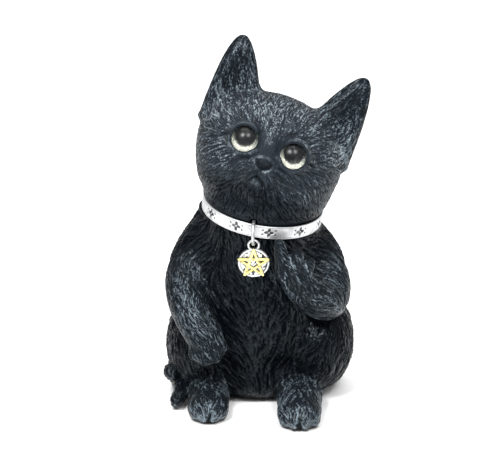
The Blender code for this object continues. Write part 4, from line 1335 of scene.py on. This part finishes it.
# the charm: a coin with a raised rim and a pitted field, its eyelet, and the star
TILT = math.radians(8.0)
CHARM_AXES = np.array([[1, 0, 0], [0, -math.sin(TILT), -math.cos(TILT)], [0, math.cos(TILT), -math.sin(TILT)]])
# columns below: right, up the face, out of the face
face_right = np.array([1.0, 0.0, 0.0])
face_out = np.array([0.0, -math.cos(TILT), -math.sin(TILT)])
face_up = np.array([0.0, -math.sin(TILT), math.cos(TILT)])
face_up = np.cross(face_out, face_right)
ring_low = centre - np.array([0, 0, major])
eyelet = ring_low - np.array([0, 0, 1.05 - 0.425 - 0.2])
disc_centre = eyelet - face_up * 5.3
axes = np.stack([face_right, face_up, face_out], 1)


def pits(x, y):
    p = np.stack([x, y, np.zeros_like(x)], 1)
    # a groove beside the star's lower-left leg, darkened as a painted shadow line under the star's edge
    along = np.clip(((x + 2.5) * 2.7 + (y + 3.2)) / 8.29, 0, 1)
    shadow_slot = smooth(0.26 - np.hypot(x + 2.5 - 2.7 * along, y + 3.2 - along), -0.06, 0.1)
    return np.maximum(ripple(p, 1.5, 31) * 0.6 + ripple(p, 0.8, 32) * 0.6, shadow_slot)


def placed(points):
    return disc_centre + points @ axes.T


def coin_field(p):
    """A coin with a raised rim and a pitted field, and its eyelet on a short neck."""
    x, y, z = p.T
    r = np.hypot(x, y)
    spots = smooth(pits(x, y), 0.2, 0.42) * (r < 3.65)
    front = 0.45 - 0.12 + 0.13 * smooth(r, 3.6, 3.85) - 0.14 * spots - 0.02 * ripple(p, 0.7, 35)
    d = smax(r - 4.25 - 0.012 * ripple(p, 1.2, 36), np.maximum(z - front, -z - 0.43), 0.16)
    loop = np.hypot(np.hypot(x, y - 5.3) - 1.41, z) - 0.34
    d = smin(d, loop, 0.22)
    neck = tube(p, np.array([(0.0, 3.3, -0.05, 0.42), (0.0, 4.0, 0.0, 0.4)]))
    d = smin(d, neck, 0.25)
    return smax(d, 1.06 - np.hypot(x, y - 5.3), 0.05)


verts, quads = net(coin_field, (-4.6, -4.6, -0.9), (4.6, 7.4, 0.9), 0.085 * FINE)
verts = settle(coin_field, verts, 2, 0.05)
r = np.hypot(verts[:, 0], verts[:, 1])
front = smooth(verts[:, 2], 0.1, 0.2)
# patina in the pits and round the rim; the slot is a painted shadow line
sunk = front * np.clip(smooth(pits(verts[:, 0], verts[:, 1]), 0.12, 0.34) * (r < 3.65) + 0.5 * np.exp(-((r - 3.6) / 0.12) ** 2), 0, 1)
sunk = np.maximum(sunk, 0.5 * smooth(0.25 - np.abs(r - 4.35), 0.0, 0.2))
coin = mesh_object("charm_coin", placed(verts), quads)
attribute(coin, "sunk", sunk)
coin.data.materials.append(SILVER)
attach(coin, "charm")
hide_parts("charm_disc")

# the star: five bars that cross, so that the coin shows through its middle
STAR_R, BAR = 4.5, 0.37
tips = [np.array([STAR_R * math.cos(math.radians(90 + 72 * i)), STAR_R * math.sin(math.radians(90 + 72 * i))]) for i in range(5)]


def star_distance(x, y):
    q = np.stack([x, y], 1)
    best = np.full(len(q), 1e9)
    for i in range(5):
        a, b = tips[i] * 0.93, tips[(i + 2) % 5] * 0.93
        ab = b - a
        t = np.clip(((q - a) @ ab) / (ab @ ab), 0, 1)
        best = np.minimum(best, np.linalg.norm(q - a - t[:, None] * ab, axis=1))
    return best - BAR


def star_field(p):
    x, y, z = p.T
    d = star_distance(x, y)
    top = z - (0.36 + 0.10 * np.clip(-d / BAR, 0, 1) + 0.02 * ripple(p, 1.1, 41))
    d = smax(d, top, 0.14)
    return smax(d, 0.02 - z, 0.06)


verts, quads = net(star_field, (-5.2, -4.6, -0.5), (5.2, 5.2, 1.1), 0.075 * FINE)
verts = settle(star_field, verts, 2, 0.05)
sunk = smooth(-verts[:, 2], -0.24, -0.06) + 0.7 * smooth(ripple(verts, 1.3, 43), 0.35, 0.7)
verts[:, 2] += 0.45 - 0.12 + 0.14 + 0.1
star = mesh_object("charm_gold_star", placed(verts), quads)
attribute(star, "sunk", np.clip(sunk, 0, 1))
star.data.materials.append(GOLD)
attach(star, "charm")
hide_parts("charm_star")

# ------------------------------------------------------------------ felt pads
felt, tree, shader = material("black_felt_fibres")
place = tree.nodes.new("ShaderNodeTexCoord").outputs["Object"]
fibre = noise(tree, place, 2600.0, 4.0, 0.7)
cloud = noise(tree, place, 500.0, 2.0)
link(tree, mix(tree, ramp(tree, fibre, (0.35, 0.0), (0.7, 1.0)), (0.008, 0.008, 0.009), (0.035, 0.036, 0.04)), shader.inputs["Base Color"])
link(tree, ramp(tree, cloud, (0.3, 0.85), (0.7, 1.0)), shader.inputs["Roughness"])
shader.inputs["Sheen Weight"].default_value = 0.4
bump(tree, shader, fibre, 0.0001, 0.8)
for name, (x, y, radius) in PADS.items():
    low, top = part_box(name)
    middle = np.array([(low[0] + top[0]) / 2, (low[1] + top[1]) / 2, 0.0]) / MM - SHIFT
    radius, depth = (top[0] - low[0]) / 2 / MM, (top[2] - low[2]) / MM
    profile = [(radius * i / 12, depth) for i in range(12)]
    profile += [(radius - 0.22 + 0.22 * math.sin(a), depth - 0.22 + 0.22 * math.cos(a)) for a in np.linspace(0, math.pi / 2, 5)]
    profile += [(radius - 0.16 + 0.16 * math.cos(a), 0.16 - 0.16 * math.sin(a)) for a in np.linspace(0, math.pi / 2, 5)]
    profile += [(radius * i / 12, 0.0) for i in range(11, -1, -1)]
    pad = lathe(name + "_felt", profile, np.eye(3), middle, 72)
    co = np.empty(len(pad.data.vertices) * 3, np.float32)
    pad.data.vertices.foreach_get("co", co)
    p = co.reshape(-1, 3) / MM
    out = p - np.array([middle[0] + SHIFT[0], middle[1] + SHIFT[1], 0.0])
    r = np.hypot(out[:, 0], out[:, 1])
    fuzz = 0.035 * ripple(p, 0.9, 51) * smooth(r, radius * 0.8, radius) - 0.03 * smooth(r, radius * 0.8, radius)
    p[:, :2] += out[:, :2] / np.maximum(r, 1e-6)[:, None] * fuzz[:, None]
    dome = smooth(p[:, 2], 0.1, 0.6)
    p[:, 2] -= dome * 0.03 * (1 + ripple(p * np.array([1, 1, 0]), 0.8, 52)) * (r < radius - 0.1)
    pad.data.vertices.foreach_set("co", (p * MM).astype(np.float32).ravel())
    pad.data.update()
    pad.data.materials.append(felt)
    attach(pad, "figure")
    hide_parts(name)

# ------------------------------------------------------------------ floor, light, camera
mesh = bpy.data.meshes.new("floor")
bm = bmesh.new()
profile = [(-3.4, 0.0), (2.9, 0.0)] + [(2.9 + 0.3 * math.sin(a), 0.3 - 0.3 * math.cos(a)) for a in np.linspace(0.1, math.pi / 2, 12)] + [(3.2, 1.6)]
rows = []
for x in (-3.4, 3.4):
    rows.append([bm.verts.new((x, y, z)) for y, z in profile])
for k in range(len(profile) - 1):
    bm.faces.new((rows[0][k], rows[1][k], rows[1][k + 1], rows[0][k + 1]))
bmesh.ops.recalc_face_normals(bm, faces=bm.faces)
bm.to_mesh(mesh)
bm.free()
mesh.shade_smooth()
floor = bpy.data.objects.new("floor", mesh)
bpy.context.scene.collection.objects.link(floor)
mat, tree, shader = material("floor_paper")
place = tree.nodes.new("ShaderNodeTexCoord").outputs["Object"]
link(tree, mix(tree, noise(tree, place, 60.0), (0.965, 0.965, 0.965), (0.985, 0.985, 0.985)), shader.inputs["Base Color"])
shader.inputs["Roughness"].default_value = 0.9
floor.data.materials.append(mat)
floor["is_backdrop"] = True

world = bpy.data.worlds.new("studio")
world.use_nodes = True
world.node_tree.nodes["Background"].inputs[0].default_value = (1.0, 1.0, 1.0, 1)
world.node_tree.nodes["Background"].inputs[1].default_value = 0.55
bpy.context.scene.world = world


def lamp(name, place, target, size, power, tint=(1, 1, 1)):
    data = bpy.data.lights.new(name, "AREA")
    data.shape = "RECTANGLE"
    data.size, data.size_y = size
    data.energy = power
    data.color = tint
    obj = bpy.data.objects.new(name, data)
    obj.location = place
    way = Vector(target) - Vector(place)
    obj.rotation_euler = way.to_track_quat("-Z", "Y").to_euler()
    bpy.context.scene.collection.objects.link(obj)
    return obj


lamp("key", (-0.21, -0.37, 0.52), (0, 0, 0.05), (0.21, 0.2), 4.1)
lamp("fill", (0.21, -0.37, 0.52), (0, 0, 0.05), (0.19, 0.19), 2.4)
lamp("top", (0.02, 0.12, 0.60), (0, 0, 0.05), (0.45, 0.4), 2.0)

scene = bpy.context.scene
scene.view_settings.view_transform = "Standard"

ELEVATION = math.radians(20.0)
look = Vector((0.0, math.cos(ELEVATION), -math.sin(ELEVATION)))
aim = (Vector((-3.38, -5.0, 45.4)) + Vector(SHIFT)) * MM
distance = 2.4
data = bpy.data.cameras.new("camera")
data.sensor_width = 36.0
data.lens = 36.0 * distance / (490 / 3.7 * MM)
data.clip_start, data.clip_end = 0.01, 10.0
camera = bpy.data.objects.new("camera", data)
camera.location = aim - look * distance
camera.rotation_euler = look.to_track_quat("-Z", "Y").to_euler()
scene.collection.objects.link(camera)
scene.camera = camera

low, high_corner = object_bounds()
{"cad": [list(CAD_LOW), list(CAD_HIGH)], "visual": [list(low), list(high_corner)]}
